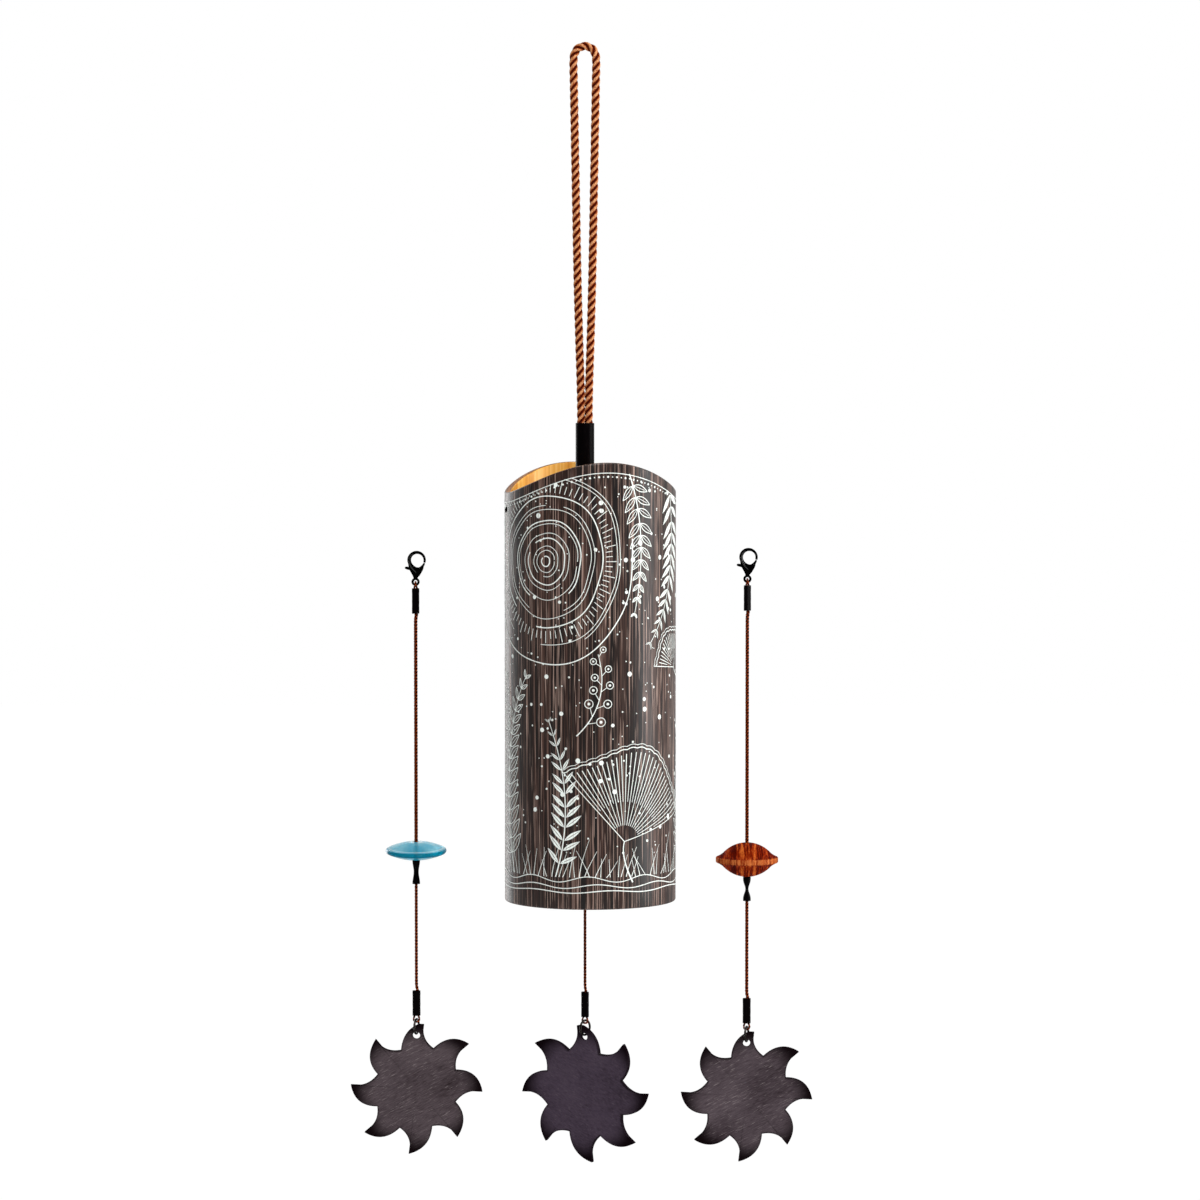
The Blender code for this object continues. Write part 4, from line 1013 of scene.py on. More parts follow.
def in_field(flat):
    """Whether places on the unrolled tube lie between the print's margins at foot and rim."""
    rim = RIM_Z - MOUTH_Z + rim_height(flat[..., 0] / TUBE_R - math.pi / 2)
    return (flat[..., 1] > PRINT_FOOT) & (flat[..., 1] < rim - PRINT_BELOW_RIM)


def wrapped(flat):
    """Wrap a grid on the unrolled tube, as distance round from the front and height, on its wall."""
    around = flat[..., 0] / TUBE_R
    radius = TUBE_R + wall_swell(around - math.pi / 2) + INK_PROUD
    rows = np.stack([radius * np.sin(around), -radius * np.cos(around), MOUTH_Z + flat[..., 1]], -1)
    return skin(rows, ring=False, sheet=True)


def stroke(line, width):
    """A stroke on the unrolled tube, as wide at each point as is said, left off outside the field."""
    line = np.asarray(line, float)
    along = np.gradient(line, axis=0)
    along /= np.maximum(np.linalg.norm(along, axis=1, keepdims=True), 1e-9)
    side = np.stack([-along[:, 1], along[:, 0]], -1) * np.broadcast_to(width, len(line))[:, None] / 2
    flat = np.stack([line + side, line - side], 1)
    inside = np.concatenate([[0], in_field(line).astype(int), [0]])
    runs = np.flatnonzero(np.diff(inside)).reshape(-1, 2)
    return [wrapped(flat[first:last]) for first, last in runs if last - first > 1]


def patch(flat):
    """A filled shape on the unrolled tube, left off where it would leave the field."""
    return [wrapped(flat)] if in_field(flat).all() else []


def dot(centre, size):
    """A round spot: its edge drawn in to its middle."""
    radius = np.array([0.5, 0.02])[:, None, None] * size
    return patch(np.asarray(centre) + radius * circle(np.linspace(0.0, TAU, 13)))


def bow_line(start, bend, end, count):
    """A quadratic curve between two places that leans to a third, and its directions."""
    t = np.linspace(0.0, 1.0, count)[:, None]
    start, bend, end = (np.asarray(p, float) for p in (start, bend, end))
    line = quadratic(start, bend, end, t)
    return line, unit(np.gradient(line, axis=0))


def turned_way(way, angle):
    """A direction on the unrolled tube, turned by an angle."""
    return np.array([way[0] * math.cos(angle) - way[1] * math.sin(angle),
                     way[0] * math.sin(angle) + way[1] * math.cos(angle)])


def leaf(base, tip, swell, filled):
    """A pointed leaf, whose half width is a sine: two halves beside a bare midrib, or outlines."""
    base, tip = np.asarray(base, float), np.asarray(tip, float)
    t = np.linspace(0.0, 1.0, 11)[:, None]
    chord = tip - base
    side = np.array([-chord[1], chord[0]])
    rib = base + chord * t
    bulge = side * swell * np.sin(math.pi * t ** 0.85)
    if filled:
        gap = side / np.linalg.norm(side) * 0.09 * np.sin(math.pi * t)
        return patch(np.stack([rib + bulge, rib + gap], 1)) + patch(np.stack([rib - gap, rib - bulge], 1))
    return stroke(rib + bulge, 0.3) + stroke(rib - bulge, 0.3) + stroke(rib[:9], 0.2)


def frond(start, bend, end, leaves, reach, filled):
    """A bowed stem with leaves in pairs that shorten towards its tip."""
    stem, along = bow_line(start, bend, end, 48)
    shells = stroke(stem, np.linspace(0.5, 0.24, len(stem)))
    for k in range(leaves):
        share = 0.10 + 0.88 * k / (leaves - 1)
        i = int(share * (len(stem) - 1))
        swell = 0.55 + 0.75 * math.sin(math.pi * (0.15 + 0.8 * share))
        length = reach * swell * (1.08 - 0.6 * share)
        for hand in (1, -1):
            way = turned_way(along[i], hand * (0.95 - 0.35 * share))
            width = 0.12 if filled else 0.17
            shells += leaf(stem[i] + way * 0.4, stem[i] + way * length, width, filled)
    return shells


def fan_leaf(base, aim, spread, inner, outer, veins):
    """A fan of veins from one place, inside a scalloped edge and crossed by two fine arcs."""
    base = np.asarray(base, float)
    shells = []
    for k, turn in enumerate(aim + np.linspace(-spread, spread, veins)):
        way = circle(turn)
        begin = inner if k % 2 == 0 else inner + 0.3 * (outer - inner)
        end = outer * (0.93 + 0.05 * math.cos(5 * (turn - aim)))
        run = np.linspace(begin, end - 0.8, 8)[:, None]
        shells += stroke(base + way * run, np.linspace(0.2, 0.34, 8))
    count = 220
    turn = aim + np.linspace(-spread, spread, count)
    lobes = 1 + 0.05 * np.cos(5 * (turn - aim))
    edge = outer * (lobes - 0.05) + 0.45 * np.abs(np.sin(veins / 4 * (turn - aim) * math.pi / spread))
    way = circle(turn)
    shells += stroke(base + way * edge[:, None], 0.36)
    shells += stroke(base + way * (edge + 1.2)[:, None], 0.22)
    for k in (0, -1):
        shells += stroke(np.linspace(base, base + way[k] * (edge[k] + 1.2), 14), 0.3)
    back = way[count // 2]
    stalk, _ = bow_line(base, base - back * inner, base - turned_way(back, 0.5) * 2.6 * inner, 14)
    return shells + stroke(stalk, np.linspace(0.36, 0.6, 14))


def growth_rings(centre, radii, ray_radii, seed):
    """Rings like those of a sawn trunk, each wavering on low harmonics, and a belt of short rays."""
    random = np.random.default_rng(seed)
    count = 180
    turn = np.linspace(0.0, TAU, count + 1)
    phase = random.uniform(0.0, TAU, 3)

    def ring(radius, angle):
        waver = 1 + 0.045 * np.sin(2 * angle + phase[0]) + 0.03 * np.sin(3 * angle + phase[1])
        waver += 0.01 * np.sin(7 * angle + phase[2] + 0.2 * radius)
        return np.asarray(centre) + (radius * waver)[:, None] * circle(angle)

    shells = []
    for k, radius in enumerate(radii):
        line = np.roll(ring(radius, turn)[:-1], int(random.integers(0, count)), axis=0)
        drawn = count - int(random.integers(2, 34))
        shells += stroke(line[:drawn], 0.24 if k % 3 else 0.42)
    for k, angle in enumerate(np.linspace(0.0, TAU, 84, endpoint=False)):
        far = ray_radii[1] if k % 3 else ray_radii[1] + 1.6
        shells += stroke(ring(np.linspace(ray_radii[0], far, 4), np.full(4, angle)), 0.26)
    return shells


def berry_twig(start, bend, end, berries, reach):
    """A bowed twig with a ringed berry at the end of each short stalk, on each side in turn."""
    stem, along = bow_line(start, bend, end, 40)
    shells = stroke(stem, np.linspace(0.45, 0.24, len(stem)))
    turn = np.linspace(0.0, TAU, 25)
    for k in range(berries):
        share = 0.2 + 0.78 * k / (berries - 1)
        i = int(share * (len(stem) - 1))
        way = turned_way(along[i], 0.8 if k % 2 else -0.8)
        size = 1.75 - 0.7 * share
        middle = stem[i] + way * (reach * (1.1 - 0.5 * share) + size)
        shells += stroke(np.linspace(stem[i], middle - way * size, 6), 0.24)
        shells += stroke(middle + size * circle(turn), 0.28)
        shells += dot(middle, size * 0.7)
    return shells


def half_print(shift, hand, seed):
    """Half of the print's plants, set round the tube by a shift and drawn either way round."""
    def at(across, height):
        return (shift + hand * across, height)

    def aim(degrees):
        return math.pi / 2 - hand * math.radians(degrees)

    radii = (1.8, 3.9, 5.4, 8.2, 10.0, 13.4, 14.6, 18.6, 20.0, 23.2, 29.4, 30.6, 36.0)
    shells = growth_rings(at(-17, 128), radii, (24.4, 27.2), seed)
    shells += fan_leaf(at(13, 25), aim(16), math.radians(58), 6.0, 35.0, 33)
    shells += fan_leaf(at(42, 88), aim(-34), math.radians(52), 3.5, 15.0, 17)
    shells += frond(at(-34, 12), at(-47, 54), at(-26, 86), 15, 9.5, False)
    shells += frond(at(-13, 12), at(-4, 40), at(-16, 70), 13, 7.0, True)
    shells += frond(at(36, 158), at(46, 124), at(24, 97), 14, 8.5, True)
    shells += frond(at(15, 160), at(24, 136), at(17, 108), 11, 6.5, False)
    shells += frond(at(-48, 150), at(-54, 128), at(-44, 104), 11, 7.0, True)
    shells += frond(at(50, 13), at(56, 40), at(47, 66), 11, 7.0, False)
    shells += berry_twig(at(-5, 64), at(8, 76), at(3, 94), 9, 3.4)
    shells += berry_twig(at(-46, 60), at(-38, 72), at(-46, 90), 9, 3.0)
    return shells


def print_surfaces():
    """The tube's print: plants, sawn-trunk rings, grass, seeds and wavy ground lines.

    It is drawn on the unrolled tube, as distance round from the front and height above the mouth.
    """
    round_way = TAU * TUBE_R
    across = np.linspace(-round_way / 2, round_way / 2, 481)
    shells = []
    for k, level in enumerate((6.6, 8.6, 11.2)):
        wave = level + (0.45 + 0.3 * k) * np.sin(across / round_way * TAU * (7 + k) + 0.9 * k)
        shells += stroke(np.stack([across, wave], -1), 0.36 - 0.03 * k)
    rim = RIM_Z - MOUTH_Z + rim_height(across / TUBE_R - math.pi / 2)
    shells += stroke(np.stack([across, rim - PRINT_BELOW_RIM - 0.4], -1), 0.3)
    for i in range(0, len(across) - 1, 4):
        shells += dot((across[i], rim[i] - PRINT_BELOW_RIM - 1.8), 0.5 if i % 8 else 0.8)

    shells += half_print(0.0, 1, 5)
    shells += half_print(round_way / 2, -1, 8)

    random = np.random.default_rng(11)
    for base in np.linspace(-round_way / 2, round_way / 2, 100, endpoint=False):
        foot = base + random.uniform(-0.6, 0.6)
        lean = random.uniform(-6.0, 6.0)
        height = random.uniform(18.0, 22.0 + 12.0 * random.random() ** 2)
        bend = (foot + 0.1 * lean, 0.65 * height)
        blade, _ = bow_line((foot, 12.0), bend, (foot + lean, height), 12)
        shells += stroke(blade, np.linspace(0.34, 0.12, 12))
    count = 800
    places = random.uniform((-round_way / 2, 20.0), (round_way / 2, 158.0), (count, 2))
    for place, size in zip(places, 0.42 + 1.6 * random.random(count) ** 4):
        shells += dot(place, size)
    return shells


def sleeve_surface(place, yaw):
    """Shrunk tubing over two cord legs: two half circles and their flats, lipped at both ends."""
    sides = 40
    turn = np.arange(sides) / sides * TAU
    ease = 0.12
    length = SLEEVE_LENGTH
    lip = np.linspace(0.0, math.pi / 2, 5)
    outside = [(SLEEVE_R - ease * (1 - math.sin(a)), -ease * (1 - math.cos(a))) for a in lip]
    body = [(SLEEVE_R + 0.02 * math.sin(1.7 * h) - 0.012 * math.sin(3.1 * h + 1), -h)
            for h in np.linspace(0.6, length - 0.6, 12)]
    lower = [(r, -length - z) for r, z in outside[::-1]]
    bore = SLEEVE_BORE_R
    inside = [(bore + 0.05, -length), (bore, -length + 0.3), (bore, -0.3), (bore + 0.05, 0.0)]
    profile = np.array(outside + body + lower + inside)
    legs = CORD_LEG_OFFSET * np.clip(np.cos(turn) * 6.0, -1.0, 1.0)
    rows = np.empty((len(profile), sides, 3))
    rows[..., 0] = legs + profile[:, :1] * np.cos(turn)
    rows[..., 1] = profile[:, :1] * np.sin(turn)
    rows[..., 2] = profile[:, 1:]
    return moved(skin(rows, loop=True), place, yaw)


def crimp_surface(place, waist):
    """A crimped tube: flattened across the view at its middle and round at its ends.

    Its half width falls from the ends to the waist as a raised cosine, to a power where the waist
    is narrow, and its half depth falls less.
    """
    sides = 32
    turn = np.arange(sides) / sides * TAU
    t = np.linspace(-1.0, 1.0, 31)
    narrow = waist < CRIMP_NARROW_WAIST
    squeeze = 0.5 + 0.5 * np.cos(math.pi * t)
    squeeze = squeeze ** (1.7 if narrow else 1.0)
    end = CRIMP_END_R
    wide = end + (waist - end) * squeeze
    deep = end + (CRIMP_DEEP_R - end) * squeeze + (0.25 if narrow else 0.08) * squeeze
    height = -CRIMP_LENGTH / 2 - t * CRIMP_LENGTH / 2
    lip = 0.08
    bottom = -CRIMP_LENGTH
    rows = [oval(end - lip, end - lip, 0.0, turn)]
    for w, d, z in zip(wide, deep, np.clip(height, bottom + lip, -lip)):
        rows.append(oval(w, d, z, turn))
    rows.append(oval(end - lip, end - lip, bottom, turn))
    bore = ((bottom, CRIMP_MOUTH_R), (bottom + 1.5, CRIMP_CORE_R), (-1.5, CRIMP_CORE_R),
            (0.0, CRIMP_MOUTH_R))
    for z, size in bore:
        rows.append(oval(size, size, z, turn))
    return moved(skin(np.array(rows), loop=True), place)


def lens_surface(place, tip):
    """A disc whose faces fall from the bore to a rounded rim, tipped towards the front by an angle.

    A face's height over its chord is a parabola, so the disc swells a little between hub and rim.
    """
    rim = LENS_RIM / 2
    hub = LENS_THICKNESS / 2
    bore = STRIKER_BORE_R
    t = np.linspace(0.03, 0.99, 30)
    radius = bore + (LENS_R - 0.75 * rim - bore) * t
    swell = 4 * t * (1 - t)
    upper = np.stack([radius, hub + (rim - hub) * t + LENS_SWELL * swell], -1)
    edge = arc((LENS_R - rim, 0.0), rim, math.radians(62), math.radians(-62), 13)
    mouth = np.array([(bore, hub - 0.3), (bore + 0.1, hub - 0.05)])
    profile = np.vstack([mouth, upper, edge, upper[::-1] * (1, -1), mouth[::-1] * (1, -1)])
    disc = turned(profile, 128, loop=True)
    lean = np.array([[1.0, 0.0, 0.0], [0.0, math.cos(tip), math.sin(tip)],
                     [0.0, -math.sin(tip), math.cos(tip)]])
    return moved((disc[0] @ lean, *disc[1:]), place)


def bead_surface(place):
    """Two domes that are parts of a ball, each flaring hollow into the band round the middle."""
    rim = BEAD_BAND / 2
    rise = BEAD_HEIGHT / 2 - BEAD_RIM / 2
    bore = STRIKER_BORE_R
    ball = (BEAD_DOME_R ** 2 + rise ** 2) / (2 * rise)
    radius = np.linspace(bore + 0.3, BEAD_DOME_R - 0.9, 30)
    dome = np.stack([radius, BEAD_RIM / 2 + rise - ball + np.sqrt(ball ** 2 - radius ** 2)], -1)
    foot = np.array([dome[-1], (BEAD_DOME_R + 0.35, rim + 0.35), (BEAD_R - 0.35, rim - 0.04)])
    t = np.linspace(0.0, 1.0, 11)[1:, None]
    hollow = quadratic(*foot, t)
    edge = arc((BEAD_R - 0.5, rim - 0.5), 0.5, math.pi / 2 - 0.5, 0.0, 7)
    mouth = np.array([(bore, BEAD_HEIGHT / 2 - 0.5), (bore + 0.1, BEAD_HEIGHT / 2 - 0.12)])
    upper = np.vstack([mouth, dome, hollow, edge])
    profile = np.vstack([upper, upper[::-1] * (1, -1)])
    return moved(turned(profile, 128, loop=True), place)


def ring_surface(place, yaw):
    """A wire ring that stands across the sail, cut once at its side."""
    turn = np.linspace(0.02, TAU - 0.02, 72) + 0.6
    path = np.stack([np.zeros(len(turn)), RING_R * np.cos(turn), RING_R * np.sin(turn) - RING_R], -1)
    return moved(swept(path, RING_WIRE_R, 16), place, yaw)


def bowed(start, end, rise, count):
    """Points of a shallow parabola from one place to just before another."""
    start, end = np.asarray(start), np.asarray(end)
    t = np.arange(count)[:, None] / count
    chord = end - start
    side = np.array([-chord[1], chord[0]]) / np.linalg.norm(chord)
    return start + chord * t + side * rise * 4 * t * (1 - t)


def sail_outline(hand, scale):
    """Eight flame-like rays, each a long full rise to its tip and a short hollow fall.

    The whole outline is drawn out a little along one diagonal.
    """
    step = TAU / SAIL_RAYS
    tip_r = SAIL_TIP_R * scale
    valley_r = SAIL_VALLEY_R * scale
    pieces = []
    for i in range(SAIL_RAYS):
        tip_turn = SAIL_TIP_TURN + i * step
        next_turn = tip_turn + SAIL_FALL_ANGLE
        foot = valley_r * circle(next_turn - step)[::-1]
        tip = tip_r * circle(tip_turn)[::-1]
        valley = valley_r * circle(next_turn)[::-1]
        pieces += [bowed(foot, tip, SAIL_RISE_BULGE, 22), bowed(tip, valley, -SAIL_FALL_HOLLOW, 16)]
    outline = np.vstack(pieces)
    return (outline + SAIL_LEAN * outline[:, ::-1]) * (hand, 1)


def blunted(outline, cut):
    """An outline whose topmost tip is cut straight across, a little below its point."""
    outline = np.roll(outline, len(outline) // 2 - outline[:, 1].argmax(), axis=0)
    high = np.flatnonzero(outline[:, 1] > outline[:, 1].max() - cut)
    first, last = high[0] - 1, high[-1] + 1
    t = np.linspace(0.0, 1.0, last - first + 1)[:, None]
    outline[first:last + 1] = outline[first] * (1 - t) + outline[last] * t
    return outline


def add_sail(name, strand, material, low_wire):
    """A flat sail of rings that shrink from the outline to the middle, drilled for the jump ring.

    The tip over the hole is blunt, so that it passes under the cord's loop when the sail swings.
    Each point keeps its distance from the cut edge and its reach from the middle, for the scorch.
    """
    outline = blunted(sail_outline(strand["hand"], strand["scale"]), SAIL_TIP_BLUNT)
    tip_r = SAIL_TIP_R * strand["scale"]
    half = SAIL_THICKNESS / 2
    hole_up = tip_r - SAIL_HOLE_BELOW_TIP
    level = math.sqrt(RING_R ** 2 - half ** 2)
    ring_drop = RING_GAP + RING_WIRE_R * RING_R / level + RING_R - level
    wire_up = hole_up + SAIL_HOLE_R - ring_drop
    soft = 0.12
    shares = (0.02, 0.2, 0.4, 0.55, 0.66, 0.75, 0.83, 0.9, 0.95, 0.98)
    rows = [(share, -half) for share in shares]
    rows += [(0.994, -half), (1.0, soft - half), (1.0, half - soft), (0.994, half)]
    rows += [(share, half) for share in shares[::-1]]
    share, depth = np.array(rows).T[..., None]
    grid = np.stack([outline[:, 0] * share, np.broadcast_to(depth, (len(rows), len(outline))),
                     outline[:, 1] * share - wire_up], -1)
    shell = moved(skin(grid), low_wire, strand["sail_yaw"])
    sail = add_piece(f"{name}_sail_wood", [shell], material, f"{name}_sail",
                     [f"{name}_sail"])
    hole = arc((0.0, 0.0), SAIL_HOLE_R, 0.0, TAU, 33)[:-1]
    ends = np.array([[-3.0], [3.0]])
    pin = np.stack([np.tile(hole[:, 0], (2, 1)), np.tile(ends, (1, len(hole))),
                    np.tile(hole[:, 1] + hole_up - wire_up, (2, 1))], -1)
    drill(sail, [moved(skin(pin), low_wire, strand["sail_yaw"])])

    points = np.empty(len(sail.data.vertices) * 3, np.float32)
    sail.data.vertices.foreach_get("co", points)
    points = points.reshape(-1, 3) / MM - np.asarray(low_wire)
    spin = strand["sail_yaw"]
    flat = np.stack([points[:, 0] * math.cos(spin) + points[:, 1] * math.sin(spin),
                     points[:, 2] + wire_up], -1)
    gap = np.sqrt(((flat[:, None] - outline[None]) ** 2).sum(axis=2)).min(axis=1)
    reach = np.hypot(flat[:, 0], flat[:, 1]) / tip_r
    set_attributes(sail.data, {"edge": gap, "reach": reach})


def clasp_outline():
    """The claw between two circles with no common centre, and the body that tapers to the neck.

    The opening's lower half is drawn down and towards the gate by the square of its depth.
    """
    tip = HOOK_TIP_ANGLE
    outside = arc(HOOK_OUTER_CENTRE, HOOK_OUTER_R, tip, math.radians(205.0), 44)
    left = [(-2.55, 5.2), (-2.1, 4.2), (-1.05, 2.3)]
    neck = [(-0.78, EYE_OUTER_R + 0.1), (-0.7, EYE_HOLE_R + 0.2),
            (0.7, EYE_HOLE_R + 0.2), (0.8, EYE_OUTER_R + 0.1)]
    right = [(1.55, 2.3), (2.65, 4.2), (3.05, 5.2), (2.95, 5.85)]
    inside = arc(HOOK_CENTRE, HOOK_OPENING_R, math.radians(-55.0), tip - TAU, 60)
    low = np.clip((HOOK_CENTRE[1] - inside[:, 1]) / HOOK_OPENING_R, 0.0, None) ** 2
    inside = inside + low[:, None] * (0.3, -0.35)
    side = rounded([outside[-1], *left, *neck, *right, inside[0]], 0.5, 4)
    return np.vstack([outside[:-1], side, inside[1:]])


def gate_outline():
    """The gate as a ribbon of changing width, from its thumb tab past the rivet to its tip."""
    spine = np.array([(-3.8, 5.28), (-3.2, 5.2), (-2.3, 4.95), (-1.2, 4.7), (0.2, 4.3),
                      (0.9, 4.2), (1.9, 4.85), (2.63, 5.84), (3.06, 6.46), (3.33, 7.04)])
    half = np.array([0.4, 0.54, 0.52, 0.6, 0.85, 0.95, 0.8, 0.48, 0.38, 0.33])
    along = unit(np.gradient(spine, axis=0))
    side = np.stack([-along[:, 1], along[:, 0]], -1) * half[:, None]
    tab = spine[:1] + (-0.42, 0.12)
    ring = np.vstack([tab, spine - side, (spine + side)[::-1], tab])
    return rounded(ring, 0.34, 4)[1:-1]


def clasp_ridge(front):
    """A raised tear drop on one face: half-round, down the claw's back and across the body.

    Its middle lies so far under the face that a little less than half of it stands proud.
    """
    bend = arc((0.53, 8.135), 2.86, math.radians(120.0), math.radians(186.0), 5)
    line = np.vstack([bend, [(-1.95, 6.5), (-1.35, 5.4), (-0.6, 4.5), (0.0, 3.9), (0.35, 3.4)]])
    size = np.array([0.12, 0.26, 0.34, 0.38, 0.4, 0.4, 0.38, 0.34, 0.26, 0.1])
    depth = CLASP_THICKNESS / 2 - 0.5 * size
    route = np.stack([line[:, 0], front * depth, line[:, 1]], -1)
    path = smooth_route(route, 0.16)
    run = run_along(route)
    at = np.linspace(0.0, run[-1], len(path))
    return swept(path, np.interp(at, run, size), 16)


def add_clasp(name, strand, material, polished):
    """Claw with its eye, ridges and gate slot, the gate, and the rivet through both."""
    place = (strand["x"], 0.0, strand["eye"])
    yaw = strand["yaw"]
    claw = pressed(clasp_outline(), CLASP_THICKNESS, 0.34, 0.6)
    ring_r = (EYE_OUTER_R + EYE_HOLE_R) / 2
    halves = ((EYE_OUTER_R - EYE_HOLE_R) / 2, EYE_THICKNESS / 2)
    section = (ring_r, 0.0) + halves * circle(np.arange(20) / 20 * TAU)
    eye = moved(turned(section, 40, loop=True), lay="Y")
    body = add_piece(f"{name}_clasp_claw", [moved(claw, place, yaw)], material, f"{name}_clasp",
                     [f"{name}_clasp_body"])
    slot = block(GATE_SLOT_REACH, GATE_SLOT_HALF, GATE_SLOT_HEIGHTS)
    drill(body, [moved(slot, place, yaw)])
    add_piece(f"{name}_clasp_eye", [moved(eye, place, yaw)], material, f"{name}_clasp")
    ridges = [moved(clasp_ridge(front), place, yaw) for front in (-1, 1)]
    add_piece(f"{name}_clasp_ridges", ridges, polished, f"{name}_clasp")
    gate = pressed(gate_outline(), GATE_THICKNESS, 0.16, 0.24, 4)
    add_piece(f"{name}_clasp_lever", [moved(gate, place, yaw)], material, f"{name}_gate",
              [f"{name}_clasp_gate"])
    head = arc((0.0, RIVET_HALF), RIVET_HEAD_R, math.radians(80), 0.0, 6) * (1, 0.2) + (0, 0.93)
    shank = [(RIVET_R, RIVET_HALF), (RIVET_R, -RIVET_HALF)]
    profile = np.vstack([head, shank, head[::-1] * (1, -1)])
    pin = moved(turned(profile, 24), (RIVET_PLACE[0], 0.0, RIVET_PLACE[1]), 0.0, "Y")
    add_piece(f"{name}_clasp_pin", [moved(pin, place, yaw)], material, f"{name}_clasp",
              [f"{name}_clasp_rivet"])


def add_cord(name, path, thin_heights, material, body, node):
    """A braided cord along its path.

    It is thinner in its loop and in the crimp, beyond the pairs of heights where it begins to thin.
    """
    widths = [np.interp(path[:, 2], heights, sizes) for heights, sizes in thin_heights]
    shells, crown = braided(path, np.min(widths, axis=0), BRAID_PITCH)
    piece = add_piece(name, shells, material, body, [node], {"crown": crown})


def add_cords():
    """The rope and the six braided cords, each on the route of its solid."""
    path = smooth_route(turned_points(ROPE_ROUTE), ROPE_SPACING)
    shells, crown = twisted(path, ROPE_LAID_D, strands=3, lay=ROPE_LAY, sides=18)
    rope = laid_yarn("rope_yarn", linear(74, 9, 1), linear(141, 61, 24), linear(216, 156, 108),
                     yarns=9.0, slant=0.9, uneven=1.2)
    piece = add_piece("twisted_rope", shells, rope, "hanger", ["hanging_rope"],
                      {"crown": crown})

    yarn = laid_yarn("cord_yarn", linear(36, 5, 1), linear(94, 25, 6), linear(214, 102, 44),
                     yarns=3.0, slant=0.9, uneven=0.6)
    for name, strand in STRANDS.items():
        eye = np.array([strand["x"], 0.0, strand["eye"]])
        end = strand["seat"] - CRIMP_LENGTH / 2 + FACE_GAP - strand["eye"]
        route = turned_points(EYE_LOOP)
        middle = (route[-1, 2] + end) / 2
        route = np.vstack([route, (0.0, 0.0, middle), (0.0, 0.0, end)])
        path = smooth_route(route @ about_z(strand["yaw"]) + eye, BRAID_SPACING)
        full = BRAID_UPPER_D[name]
        taper = [strand["eye"] - below for below in BRAID_EYE_TAPER]
        ends = [(taper, (full, BRAID_LOOP_D)),
                ((strand["seat"] - BRAID_CRIMP_TAPER, strand["seat"]), (BRAID_THIN_D, full))]
        add_cord(f"{name}_upper_braid", path, ends, yarn, f"{name}_cord", f"{name}_upper_cord")

        loop = np.array([strand["x"], 0.0, strand["loop"]])
        start = strand["seat"] - CRIMP_LENGTH / 2 - FACE_GAP - strand["loop"]
        route = turned_points(RING_LOOP)
        middle = (route[0, 2] + start) / 2
        route = np.vstack([(0.0, 0.0, start), (0.0, 0.0, middle), route])
        path = smooth_route(route @ about_z(strand["sail_yaw"]) + loop, BRAID_SPACING)
        crimp_end = strand["seat"] - CRIMP_LENGTH
        full = BRAID_LOWER_D[name]
        taper = [strand["loop"] + above for above in BRAID_RING_TAPER]
        ends = [(taper, (BRAID_LOOP_D, full)),
                ((crimp_end, crimp_end + BRAID_CRIMP_TAPER), (full, BRAID_THIN_D))]
        add_cord(f"{name}_lower_braid", path, ends, yarn, f"{name}_tail", f"{name}_lower_cord")


